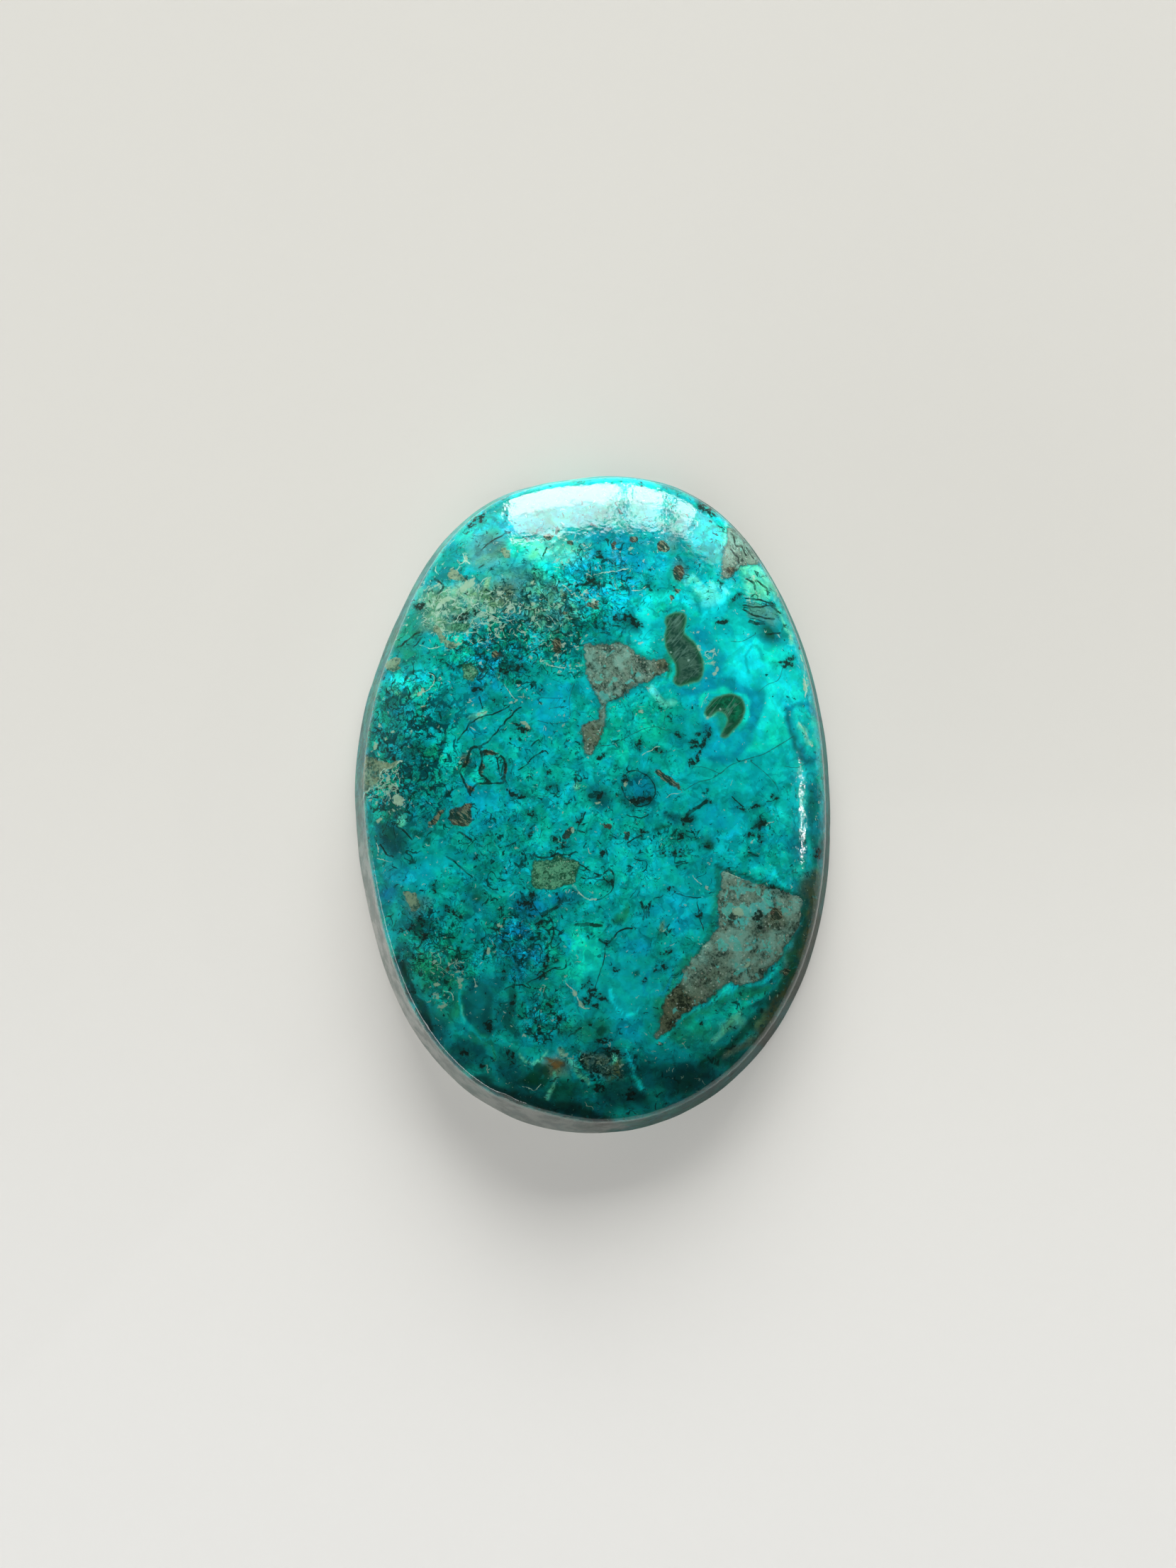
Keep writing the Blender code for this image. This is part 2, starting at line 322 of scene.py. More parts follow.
# Where the stone's ground colour changes: colour, middle, half width and half height. Later ones
# lie over earlier ones.
WASHES = (
    # the green turquoise and aqua clouds of the right side
    ("turquoise", 10.0, 4.0, 7.0, 11.0),
    ("turquoise", -1.0, 0.0, 6.0, 9.0),
    ("green turquoise", 3.4, 5.4, 2.6, 2.0),
    ("green turquoise", 1.6, 4.2, 1.4, 1.2),
    ("aqua", 7.3, 13.8, 2.0, 1.3),
    ("pale aqua", 7.3, 13.9, 1.1, 0.7),
    ("aqua", 3.9, 12.8, 1.0, 1.2),
    ("aqua", 3.2, 10.9, 1.0, 0.9),
    ("aqua", 10.3, 9.6, 1.7, 1.6),
    ("aqua", 12.6, 7.1, 1.8, 1.6),
    ("green turquoise", 12.4, 9.8, 1.1, 0.8),
    ("turquoise", 13.2, 2.6, 2.0, 2.4),
    ("green turquoise", 11.5, 4.6, 2.0, 1.4),
    ("teal", 9.4, 12.6, 1.2, 0.8),
    ("deep teal", 12.1, 11.4, 1.0, 0.8),
    ("mint", 11.0, 14.5, 0.9, 1.1),
    ("grey teal", 11.8, 12.6, 0.9, 0.7),
    ("blue teal", 7.4, 5.6, 0.9, 2.0),
    ("blue teal", 10.9, 6.0, 0.7, 1.6),
    ("teal", 5.8, 4.8, 1.2, 1.6),
    ("azure", 7.7, 3.2, 1.2, 0.8),
    # the upper end
    ("aqua", 0.0, 21.6, 8.0, 1.0),
    ("azure", -5.6, 18.8, 1.2, 0.9),
    ("turquoise", -8.2, 18.6, 2.0, 1.4),
    ("grey teal", -7.2, 16.8, 1.6, 1.1),
    ("mint", -2.8, 16.9, 2.2, 1.0),
    ("green turquoise", -4.8, 17.2, 0.9, 0.8),
    ("blue teal", 2.0, 17.2, 2.6, 1.4),
    ("blue teal", 1.2, 15.6, 3.4, 1.6),
    ("grey teal", 5.3, 17.6, 0.7, 0.7),
    ("grey teal", 5.7, 15.4, 0.7, 0.8),
    ("azure", 4.6, 16.1, 0.8, 0.6),
    ("aqua", 7.6, 18.2, 1.4, 1.6),
    ("azure", 1.5, 13.8, 1.3, 0.9),
    ("teal", 0.3, 11.8, 2.2, 0.9),
    ("deep teal", 2.4, 11.7, 0.8, 0.7),
    # the olive and grey mottle of the upper left
    ("turquoise", -3.2, 15.4, 1.4, 1.0),
    ("grey teal", -5.5, 14.2, 2.0, 1.8),
    ("grey teal", -3.0, 12.8, 1.8, 1.6),
    ("olive", -10.4, 13.0, 1.7, 1.4),
    ("pale olive", -8.2, 14.0, 1.2, 0.7),
    ("olive", -7.2, 13.4, 1.2, 0.9),
    ("grey green", -8.6, 12.2, 1.4, 0.7),
    ("deep teal", -9.6, 15.2, 0.9, 0.5),
    ("olive", -10.6, 11.6, 1.2, 0.6),
    ("grey brown", -5.9, 13.9, 0.8, 0.8),
    ("sea green", -12.4, 10.8, 1.0, 1.6),
    ("sea green", -2.6, 10.8, 1.2, 0.9),
    # the left side
    ("turquoise", -9.4, 10.4, 1.6, 0.6),
    ("blue teal", -6.4, 9.3, 2.4, 1.3),
    ("blue teal", -7.6, 7.4, 1.4, 1.2),
    ("turquoise", -11.4, 8.0, 1.6, 1.4),
    ("deep teal", -13.2, 5.6, 0.8, 1.4),
    ("turquoise", -11.0, 4.8, 1.2, 1.0),
    ("deep teal", -9.8, 6.1, 0.7, 0.6),
    ("azure", -7.4, 4.8, 1.2, 0.7),
    ("azure", -2.7, 6.2, 1.2, 1.6),
    ("green turquoise", -9.8, 3.2, 1.2, 1.6),
    ("deep teal", -12.4, 3.8, 1.0, 1.0),
    ("turquoise", -5.3, 3.4, 1.2, 0.9),
    ("teal", -12.6, 0.6, 1.6, 1.6),
    ("deep teal", -12.9, -0.2, 1.3, 0.9),
    ("dark teal", -13.5, -2.6, 1.0, 1.0),
    ("deep teal", -11.4, -1.6, 1.0, 1.2),
    ("azure", -7.4, -0.2, 2.2, 1.6),
    ("azure", -12.2, -4.9, 1.4, 0.7),
    ("blue", -13.3, -6.2, 0.6, 0.7),
    ("turquoise", -9.6, -4.6, 1.6, 1.0),
    ("grey teal", -11.7, -7.0, 0.8, 0.8),
    ("dark teal", -11.3, -8.4, 0.8, 0.6),
    ("deep teal", -7.8, -6.4, 1.0, 1.0),
    # the middle
    ("deep teal", 0.2, 0.4, 0.9, 0.8),
    ("deep teal", 3.0, 0.5, 1.1, 0.9),
    ("teal", 5.6, -2.2, 1.8, 1.6),
    ("deep teal", 6.1, -1.2, 0.7, 0.6),
    ("deep teal", 7.6, -2.6, 0.9, 0.6),
    ("azure", 8.8, -1.2, 1.2, 1.0),
    ("azure", 11.6, -2.6, 0.9, 0.8),
    ("deep teal", 11.1, -1.6, 0.6, 0.5),
    ("blue teal", 13.4, -3.2, 0.7, 1.3),
    ("teal", 9.8, 0.3, 1.0, 0.6),
    ("turquoise", 3.4, -4.4, 2.4, 1.6),
    ("deep teal", 1.0, -5.2, 0.6, 0.5),
    ("azure", 5.4, -7.4, 1.8, 1.6),
    ("blue", -1.6, -6.6, 1.0, 0.5),
    ("blue", -4.0, -7.2, 1.7, 1.1),
    ("blue", -5.4, -9.0, 1.2, 1.2),
    ("blue teal", -4.8, -10.8, 1.6, 1.4),
    ("green turquoise", -1.0, -9.0, 1.6, 1.0),
    ("green turquoise", -0.9, -10.8, 1.8, 1.3),
    ("blue teal", 3.0, -9.8, 1.0, 0.7),
    # the lower left and the lower end
    ("sea green", -10.6, -11.4, 2.2, 1.8),
    ("teal", -8.0, -9.4, 1.4, 1.0),
    ("sea green", -9.4, -13.6, 1.4, 1.1),
    ("deep teal", -7.2, -12.4, 1.4, 1.2),
    ("deep teal", -6.4, -14.2, 1.6, 1.2),
    ("teal", -3.0, -13.4, 1.8, 1.4),
    ("teal", 2.2, -12.6, 2.4, 1.6),
    ("azure", 2.3, -15.1, 1.1, 0.9),
    ("sea green", -0.6, -15.0, 1.6, 0.9),
    ("sea green", 6.4, -15.4, 1.8, 0.9),
    ("mint", 9.0, -14.9, 0.9, 0.4),
    ("dark green", 10.6, -13.2, 1.1, 0.8),
    ("sea green", 8.4, -12.9, 0.9, 0.6),
    ("dark teal", -12.6, -10.8, 0.7, 1.6),
    # the dark lower end: its own dark minerals, deepened towards the rim as painted shade on the lower
    # shoulder
    ("dark teal", -10.6, -15.0, 1.2, 1.2),
    ("dark teal", -8.8, -16.8, 1.8, 1.0),
    ("sea green", -7.4, -15.8, 0.8, 0.7),
    ("dark teal", -5.6, -17.6, 1.4, 1.2),
    ("black green", -4.6, -18.8, 1.2, 0.9),
    ("grey brown", -2.7, -17.6, 1.3, 0.7),
    ("dark green", -2.0, -19.2, 1.6, 0.9),
    ("deep teal", 0.2, -16.8, 1.4, 0.9),
    ("grey teal", 0.9, -17.6, 0.9, 0.6),
    ("dark teal", 3.0, -17.8, 1.6, 1.2),
    ("black green", 2.2, -19.6, 1.8, 0.8),
    ("black green", 6.2, -18.4, 2.4, 1.2),
    ("dark green", 8.6, -17.0, 1.8, 1.0),
    ("brown", 11.2, -15.2, 1.1, 0.8),
    ("brown", 13.2, -11.8, 0.7, 1.8),
    ("brown", 14.4, -8.4, 0.6, 1.6),
    ("deep teal", 14.9, -3.2, 0.5, 1.8),
)

# Bare host rock, brown grey and grainy, left between the copper minerals.
HOST_PATCHES = (
    ((-0.6, 10.4), (0.2, 10.5), (1.3, 10.6), (2.0, 10.6), (2.6, 10.2), (3.2, 9.7), (4.0, 9.5),
     (4.8, 9.5), (5.0, 9.2), (4.8, 8.7), (4.0, 8.3), (3.4, 8.0), (2.6, 7.7), (2.0, 7.1),
     (1.3, 6.8), (0.8, 6.7), (0.4, 6.9), (-0.1, 7.7), (-0.4, 8.5), (-0.5, 9.5)),
    ((0.40, 6.9), (0.75, 6.8), (0.80, 5.9), (0.72, 5.3), (0.46, 5.3), (0.50, 6.0)),
    ((-0.8, 5.0), (-0.3, 5.3), (0.3, 5.4), (0.7, 5.8), (0.8, 5.3), (0.4, 4.3), (0.15, 3.6),
     (-0.2, 3.1), (-0.6, 3.4), (-0.7, 4.1)),
    ((8.6, -4.7), (9.3, -4.9), (10.2, -5.3), (11.3, -5.6), (12.3, -5.9), (13.1, -6.2),
     (13.8, -6.4), (13.8, -7.8), (13.5, -8.6), (12.8, -9.5), (12.4, -10.4), (11.5, -11.2),
     (11.0, -11.9), (9.8, -12.2), (8.7, -12.1), (7.8, -13.0), (7.0, -13.5), (6.0, -14.1),
     (5.5, -14.6), (5.2, -15.1), (4.0, -15.8), (4.3, -15.1), (4.6, -14.0), (4.9, -13.0),
     (5.8, -12.0), (6.1, -11.1), (6.8, -10.3), (7.9, -8.9), (8.3, -8.3), (8.3, -6.7),
     (8.5, -5.9)),
    ((9.1, 18.5), (9.6, 18.3), (10.3, 17.5), (11.1, 16.4), (10.7, 16.0), (9.9, 16.0),
     (9.3, 15.2), (8.7, 15.3), (8.7, 16.5), (9.0, 17.7)),
)

# Dark glassy windows in rings of clear turquoise.
EYES = (
    ((5.05, 12.5), (5.5, 12.7), (6.1, 12.65), (6.25, 12.3), (6.1, 11.8), (6.05, 11.3),
     (6.4, 11.0), (6.8, 10.6), (7.15, 10.0), (7.35, 9.3), (7.35, 8.6), (7.1, 8.2), (6.5, 8.0),
     (6.1, 7.85), (5.7, 7.8), (5.4, 8.1), (5.55, 8.6), (5.55, 9.1), (5.3, 9.6), (5.0, 10.1),
     (4.85, 10.6), (4.85, 11.2), (4.95, 11.8), (4.85, 12.1)),
    ((7.5, 5.9), (7.6, 6.3), (8.0, 6.8), (8.4, 7.05), (9.0, 7.2), (9.5, 7.15), (9.9, 6.9),
     (10.1, 6.4), (10.05, 5.8), (9.8, 5.3), (9.4, 4.9), (9.1, 4.5), (8.8, 4.3), (8.55, 4.4),
     (8.75, 4.8), (8.95, 5.2), (9.0, 5.6), (8.7, 6.0), (8.3, 6.1), (7.9, 5.8), (7.7, 5.7)),
)

# Granular green and tan patches.
GRANULAR_PATCHES = (
    ((-4.0, -4.1), (-3.5, -4.0), (-2.9, -3.95), (-2.4, -3.6), (-1.9, -3.8), (-0.9, -4.1),
     (-1.1, -4.8), (-1.2, -5.3), (-1.7, -5.6), (-2.4, -5.75), (-3.3, -5.9), (-4.0, -5.6)),
    ((-8.7, 9.0), (-8.1, 9.1), (-7.8, 8.8), (-7.8, 8.2), (-8.3, 8.0), (-8.6, 8.4)),
    ((-9.3, 11.9), (-8.4, 11.9), (-8.3, 11.5), (-9.3, 11.4)),
)
TAN_PATCHES = (
    ((-15.0, 3.0), (-14.2, 2.6), (-13.6, 2.5), (-12.8, 2.7), (-13.3, 2.1), (-14.0, 2.0),
     (-14.2, 1.5), (-14.8, 0.8), (-15.3, 0.6), (-15.4, 1.6), (-15.2, 2.5)),
    ((-13.8, 9.3), (-13.0, 9.6), (-12.9, 9.1), (-13.3, 8.6), (-13.8, 8.7)),
    ((-10.2, 11.3), (-9.8, 10.8), (-9.0, 10.6), (-9.1, 10.3), (-9.5, 10.2), (-10.1, 10.6),
     (-10.7, 11.5), (-10.3, 11.8)),
    ((-12.5, -6.1), (-11.8, -6.2), (-11.5, -6.9), (-11.7, -7.4), (-12.0, -7.3), (-12.3, -6.8)),
    ((-9.4, 15.6), (-8.9, 15.2), (-8.3, 14.7), (-8.2, 14.4), (-8.9, 14.8), (-9.8, 15.0)),
    ((-6.2, 17.0), (-5.8, 17.0), (-5.5, 16.8), (-5.6, 16.4), (-6.0, 16.4)),
)

# Soft lines of colour: colour, half width, and the points they run through.
BRUSHED = (
    # rock that shows brown through the right rim, and the green below it
    ("brown", 0.75, (14.4, -5.8), (14.4, -7.6), (13.9, -9.6), (13.1, -11.6)),
    ("green turquoise", 0.70, (6.8, -14.6), (8.4, -13.9), (10.0, -13.2)),
    # rings round the upper eye
    ("turquoise", 0.50, (6.2, 14.4), (7.0, 13.2), (7.1, 12.2), (7.3, 11.4)),
    ("green turquoise", 0.26, (4.5, 12.3), (4.9, 12.9), (5.6, 13.2), (6.3, 13.1), (6.7, 12.6)),
    ("aqua", 0.35, (3.6, 11.9), (4.2, 13.2), (5.2, 13.8), (6.2, 13.7)),
    ("teal", 0.16, (6.2, 14.6), (6.8, 13.9), (7.2, 13.0), (7.1, 12.5)),
    ("blue teal", 0.55, (7.2, 11.2), (7.9, 10.4), (8.2, 9.4), (8.0, 8.4), (7.5, 7.6)),
    ("blue teal", 0.40, (7.2, 7.5), (6.3, 7.2), (5.5, 7.4)),
    ("aqua", 0.40, (4.2, 7.9), (4.8, 8.3), (5.2, 8.6)),
    ("pale aqua", 0.24, (3.7, 7.8), (4.4, 7.1), (5.3, 6.9)),
    ("turquoise", 0.25, (4.6, 7.6), (5.2, 7.3), (5.8, 7.0), (6.8, 6.9)),
    ("sea green", 0.16, (5.0, 9.9), (5.3, 9.3), (5.3, 8.7), (5.1, 8.2)),
    # rings round the lower eye
    ("blue teal", 0.48, (7.7, 7.6), (8.8, 7.9), (9.9, 7.6), (10.6, 6.9), (10.8, 6.0), (10.6, 4.9),
     (10.0, 3.9)),
    ("blue teal", 0.40, (10.0, 3.9), (9.4, 3.3), (8.6, 2.9), (7.8, 3.0)),
    ("green turquoise", 0.14, (7.3, 6.2), (7.7, 7.0), (8.6, 7.45), (9.7, 7.4), (10.3, 6.7),
     (10.3, 5.7), (9.8, 4.8)),
    ("azure", 0.45, (7.2, 5.5), (7.9, 5.2), (8.3, 4.4), (8.2, 3.7), (9.0, 3.7), (9.6, 4.2)),
    ("aqua", 0.35, (11.5, 7.6), (11.7, 6.2), (11.4, 4.8)),
    ("sea green", 0.50, (8.1, 5.95), (8.65, 5.6), (8.75, 5.0)),
    ("mint", 0.10, (7.5, 5.65), (8.1, 5.7)),
    # the eye at the right edge
    ("blue teal", 0.32, (13.0, 6.4), (13.1, 5.4), (13.6, 4.2), (14.2, 3.2), (14.8, 2.6)),
    ("deep teal", 0.13, (13.0, 6.4), (13.1, 5.4), (13.6, 4.2), (14.2, 3.2), (14.8, 2.6)),
    ("blue teal", 0.20, (13.0, 6.4), (13.9, 6.8), (14.6, 6.3), (14.9, 5.4)),
    ("mint", 0.18, (13.9, 5.2), (14.2, 4.7), (14.6, 3.9)),
    # light arcs in the upper right
    ("pale aqua", 0.18, (6.2, 14.6), (7.0, 15.0), (7.8, 14.4), (8.2, 14.9), (8.7, 14.2)),
    ("teal", 0.14, (10.3, 8.7), (10.3, 9.7), (11.0, 10.2), (11.5, 9.6)),
    ("teal", 0.20, (8.9, 12.2), (9.0, 13.2), (9.6, 13.7)),
    ("pale aqua", 0.12, (8.4, 17.0), (8.7, 18.0), (9.0, 18.6), (9.6, 18.6)),
    ("mint", 0.16, (9.4, 18.7), (10.2, 17.8), (11.0, 16.8), (11.4, 16.2)),
    ("mint", 0.20, (10.2, 15.7), (11.2, 15.6), (12.0, 14.7), (12.3, 13.9)),
    ("mint", 0.14, (12.6, 12.9), (13.2, 11.6), (13.5, 10.7)),
    # the bright rim below the lower host patch, and the bands beyond it
    ("aqua", 0.24, (12.1, -10.9), (11.2, -11.9), (10.0, -12.4), (8.8, -12.6), (7.8, -13.3),
     (6.9, -13.9), (5.9, -14.3)),
    ("turquoise", 0.30, (5.8, -14.4), (5.0, -15.4), (4.2, -16.2)),
    ("sea green", 0.40, (6.4, -14.6), (8.0, -13.6), (9.6, -13.1), (11.4, -12.3)),
    ("mint", 0.24, (7.8, -15.7), (8.6, -15.0), (9.6, -14.3)),
    ("green turquoise", 0.25, (9.4, -14.0), (10.2, -13.6), (11.2, -12.8)),
    ("dark green", 0.30, (7.2, -17.4), (8.4, -16.6), (9.8, -15.3), (11.2, -14.0)),
    ("grey brown", 0.30, (8.8, -16.8), (10.4, -15.8), (11.6, -14.6), (12.6, -12.9)),
    ("olive", 0.16, (10.5, -15.0), (11.0, -14.5), (11.3, -14.1)),
    ("dark green", 0.25, (12.0, -13.8), (12.8, -12.4), (13.0, -10.4)),
    # the clear brown and green right edge
    ("brown", 0.60, (15.0, -5.0), (14.6, -8.0), (13.7, -11.0), (12.5, -13.2), (11.0, -15.4)),
    ("dark green", 0.28, (14.1, -6.4), (13.7, -9.0), (13.0, -11.2), (11.7, -13.4)),
    ("deep teal", 0.50, (14.6, 1.0), (15.0, -1.0), (15.1, -3.6)),
    # seams that the lower host patch is set in
    ("dark green", 0.16, (8.3, -4.5), (9.3, -4.6), (10.4, -5.0), (11.6, -5.4), (12.8, -5.8),
     (13.8, -6.2)),
    ("sea green", 0.24, (8.2, -4.8), (8.1, -6.4), (7.9, -8.2), (7.2, -9.4), (6.4, -10.4)),
    ("sea green", 0.45, (6.2, -10.6), (5.4, -11.6), (4.7, -12.8), (4.3, -14.2)),
    # swirls of the middle
    ("blue teal", 0.14, (3.5, -11.6), (3.5, -12.5), (4.1, -12.9), (4.8, -12.5), (5.0, -11.7)),
    ("teal", 0.18, (1.6, -13.1), (1.9, -12.6), (2.5, -12.6), (2.6, -13.2), (2.2, -13.6)),
    ("aqua", 0.14, (1.2, -13.0), (1.4, -13.8), (2.2, -14.2), (3.0, -13.8)),
    ("aqua", 0.18, (2.2, -16.4), (2.7, -17.4), (2.8, -18.2), (3.2, -18.8)),
    ("turquoise", 0.12, (-1.0, -0.4), (0.4, -0.9), (1.8, -0.9), (3.4, -1.2), (4.4, -1.0)),
    ("dark green", 0.10, (4.0, -2.2), (4.6, -2.1), (5.0, -1.9)),
    ("dark green", 0.14, (10.3, -3.3), (10.7, -3.6), (11.0, -3.7)),
    ("aqua", 0.16, (10.4, -4.1), (11.2, -4.5), (12.2, -4.6), (13.0, -5.4)),
    ("aqua", 0.20, (11.6, -0.2), (12.4, -0.6), (12.8, -1.4), (12.3, -2.0)),
    # streaks of the blue patch
    ("dark teal", 0.12, (-5.0, -9.8), (-5.1, -10.6), (-4.8, -11.4)),
    ("dark teal", 0.12, (-4.2, -9.9), (-4.5, -11.0)),
    ("deep teal", 0.14, (-5.8, -8.8), (-5.9, -10.0)),
    ("deep teal", 0.12, (-4.6, -7.4), (-4.3, -8.6)),
    ("azure", 0.14, (-5.3, -7.8), (-5.5, -8.6), (-5.2, -9.4)),
    ("azure", 0.14, (-4.6, -9.4), (-4.7, -10.6)),
    ("azure", 0.20, (-2.6, -7.6), (-2.0, -8.8), (-2.2, -10.0)),
    # the lower left
    # dark along the lower rim: the stone's own dark minerals, deepened as painted shade on the lower
    # shoulder
    ("dark teal", 1.10, (-6.0, -19.5), (-3.0, -20.4), (0.5, -20.8)),
    ("black green", 0.45, (-7.4, -18.6), (-5.0, -19.6), (-2.0, -20.3), (1.0, -20.9)),
    ("mint", 0.08, (-8.6, -13.6), (-8.4, -14.2), (-8.2, -14.6)),
    ("turquoise", 0.14, (-8.9, -12.6), (-8.7, -13.8), (-7.9, -15.3), (-7.2, -15.9), (-6.4, -15.2)),
    ("dark teal", 0.35, (-5.4, -12.8), (-5.5, -14.4), (-4.9, -15.6)),
    ("sea green", 0.16, (-6.9, -16.3), (-6.8, -17.2)),
    ("mint", 0.10, (-4.8, -16.9), (-4.2, -17.2), (-3.6, -16.9), (-2.8, -16.6)),
    ("mint", 0.14, (-1.5, -17.3), (-1.1, -17.9), (-0.6, -18.4), (-0.3, -18.9)),
    ("mint", 0.14, (-2.7, -17.9), (-2.8, -18.8), (-2.9, -19.6)),
    ("green turquoise", 0.12, (-1.0, -16.8), (-1.0, -17.6)),
    ("dark teal", 0.26, (-13.2, -2.0), (-13.4, -3.2), (-12.8, -3.4)),
    ("black green", 0.30, (-13.0, -10.8), (-12.2, -12.0), (-11.6, -13.6), (-10.8, -14.8)),
    # upper left
    ("mint", 0.12, (-13.4, 7.2), (-12.3, 7.0), (-11.8, 7.4)),
    ("deep teal", 0.22, (-13.6, 6.4), (-12.6, 6.8), (-11.8, 7.6)),
    ("deep teal", 0.16, (-9.6, 7.6), (-9.8, 6.4), (-9.7, 5.4), (-9.9, 4.2), (-10.1, 3.2)),
    ("olive", 0.16, (-8.4, 12.9), (-7.6, 13.5), (-7.0, 14.4), (-6.8, 15.2)),
    ("pale olive", 0.10, (-8.0, 13.2), (-7.3, 13.9), (-6.9, 14.8)),
    ("blue teal", 0.30, (-7.6, 7.8), (-6.6, 8.8), (-5.4, 9.8), (-4.4, 10.0)),
    ("azure", 0.18, (-7.4, 8.4), (-6.6, 9.2), (-5.8, 9.8)),
)

# Small rounded bodies: middle, radius, colour inside, colour of the ring round it.
ORBS = (
    (3.05, 0.85, 1.15, "blue teal", "deep teal"),
    (-13.2, -2.7, 1.05, "dark teal", "deep teal"),
    (-7.8, -6.7, 1.15, "deep teal", "teal"),
    (-7.85, -6.6, 0.38, "dark green", "deep teal"),
    (-11.7, -2.0, 0.45, "dark green", "teal"),
    (-11.2, -2.8, 0.40, "dark green", "teal"),
    (0.5, 0.3, 0.95, "deep teal", "teal"),
    (8.2, -1.1, 1.05, "azure", "turquoise"),
    (12.5, -1.3, 0.60, "aqua", "turquoise"),
    (-10.0, -13.0, 0.40, "dark green", "green turquoise"),
    (-1.0, 0.85, 0.28, "mint", "deep teal"),
    (-8.1, 5.6, 0.34, "dark teal", "teal"),
    (2.3, -13.1, 0.62, "turquoise", "teal"),
    (7.7, -3.0, 0.42, "dark green", "deep teal"),
    (5.4, -1.0, 0.55, "dark teal", "deep teal"),
    (0.2, -14.9, 0.55, "sea green", "teal"),
    (0.4, -15.3, 0.35, "dark green", "sea green"),
    (-11.8, 4.8, 0.95, "turquoise", "teal"),
    (-12.4, 5.2, 0.45, "azure", "turquoise"),
    (-8.6, 3.0, 0.30, "brown", "teal"),
    (-3.2, 14.0, 0.28, "dark teal", "grey teal"),
    (-1.9, 13.6, 0.36, "grey brown", "teal"),
    (2.8, -11.4, 0.36, "dark green", "teal"),
    (4.5, -8.9, 0.26, "dark green", "teal"),
    (11.9, 11.4, 0.42, "dark green", "deep teal"),
)

# Flat patches of one colour: colour, softness of the edge, and the outline.
FLAT_PATCHES = (
    ("dark teal", 0.22, (-8.6, -12.3), (-7.9, -11.9), (-7.3, -12.4), (-6.8, -13.3), (-6.6, -14.8),
     (-7.1, -15.5), (-7.9, -15.0), (-8.5, -13.6)),
    ("deep teal", 0.25, (-8.1, -12.6), (-7.7, -12.4), (-7.3, -13.3), (-7.2, -14.4), (-7.7, -14.3),
     (-8.1, -13.4)),
    ("grey brown", 0.30, (-0.9, -16.6), (0.6, -16.8), (1.7, -16.9), (2.0, -18.2), (1.4, -18.9),
     (0.4, -18.2), (-0.5, -17.6)),
    ("dark teal", 0.30, (1.2, -18.9), (2.2, -18.9), (2.5, -19.8), (1.9, -20.4), (1.1, -20.0)),
    ("azure", 0.10, (-4.0, 6.7), (-2.4, 7.7), (-1.7, 7.7), (-1.3, 6.9), (-1.4, 6.1), (-2.2, 5.0),
     (-2.3, 4.5), (-3.5, 4.4), (-4.0, 5.4)),
    ("sea green", 0.12, (1.2, -7.6), (1.6, -7.2), (2.1, -6.9), (2.2, -7.3), (1.9, -8.1),
     (1.4, -8.3), (1.1, -8.0)),
    ("deep teal", 0.10, (1.2, -7.9), (1.5, -8.3), (1.9, -8.1), (1.8, -7.9)),
    ("turquoise", 0.10, (-7.4, 2.7), (-7.0, 3.1), (-6.5, 3.0), (-6.4, 2.3), (-6.6, 1.9), (-7.3, 2.0)),
    ("green turquoise", 0.12, (-8.3, 2.3), (-7.6, 2.5), (-7.6, 1.7), (-7.3, 1.3), (-8.0, 1.1),
     (-8.4, 1.6)),
    ("rust", 0.06, (-3.3, -16.9), (-2.8, -17.0), (-2.3, -17.2), (-1.9, -17.5), (-2.1, -17.8),
     (-2.8, -17.6), (-3.1, -17.3)),
    ("dark green", 0.08, (-4.6, -17.6), (-3.9, -17.1), (-3.2, -17.7), (-3.0, -18.4), (-3.5, -18.9),
     (-4.3, -18.9), (-4.7, -18.4)),
    ("pale aqua", 0.10, (1.3, -16.9), (1.5, -16.9), (1.6, -17.5), (1.2, -17.6)),
    ("pale olive", 0.08, (-2.0, -16.7), (-1.7, -16.7), (-1.7, -17.0), (-2.0, -17.0)),
    ("mint", 0.08, (-8.1, 5.7), (-7.6, 6.0), (-6.9, 6.0), (-7.2, 5.5), (-7.8, 5.4)),
    ("olive", 0.12, (4.4, -8.4), (4.7, -8.3), (4.9, -8.5), (4.6, -8.7)),
    ("mint", 0.12, (-12.9, -0.9), (-12.3, -0.9), (-12.1, -1.4), (-12.6, -1.7), (-13.0, -1.4)),
    ("aqua", 0.12, (-13.4, 8.0), (-12.0, 8.4), (-11.6, 8.0), (-12.6, 7.5)),
    ("turquoise", 0.12, (-9.6, 11.2), (-8.4, 11.3), (-8.2, 10.6), (-9.2, 10.7)),
    ("grey teal", 0.15, (10.3, 13.3), (11.2, 13.2), (12.2, 12.6), (12.2, 12.0), (10.8, 12.0),
     (10.4, 12.8)),
    ("mint", 0.12, (10.3, 15.4), (10.8, 15.3), (11.6, 14.6), (11.4, 14.2), (10.8, 14.7)),
    ("brown", 0.12, (4.5, 9.5), (4.9, 9.5), (5.1, 9.0), (4.7, 8.8), (4.4, 9.1)),
)

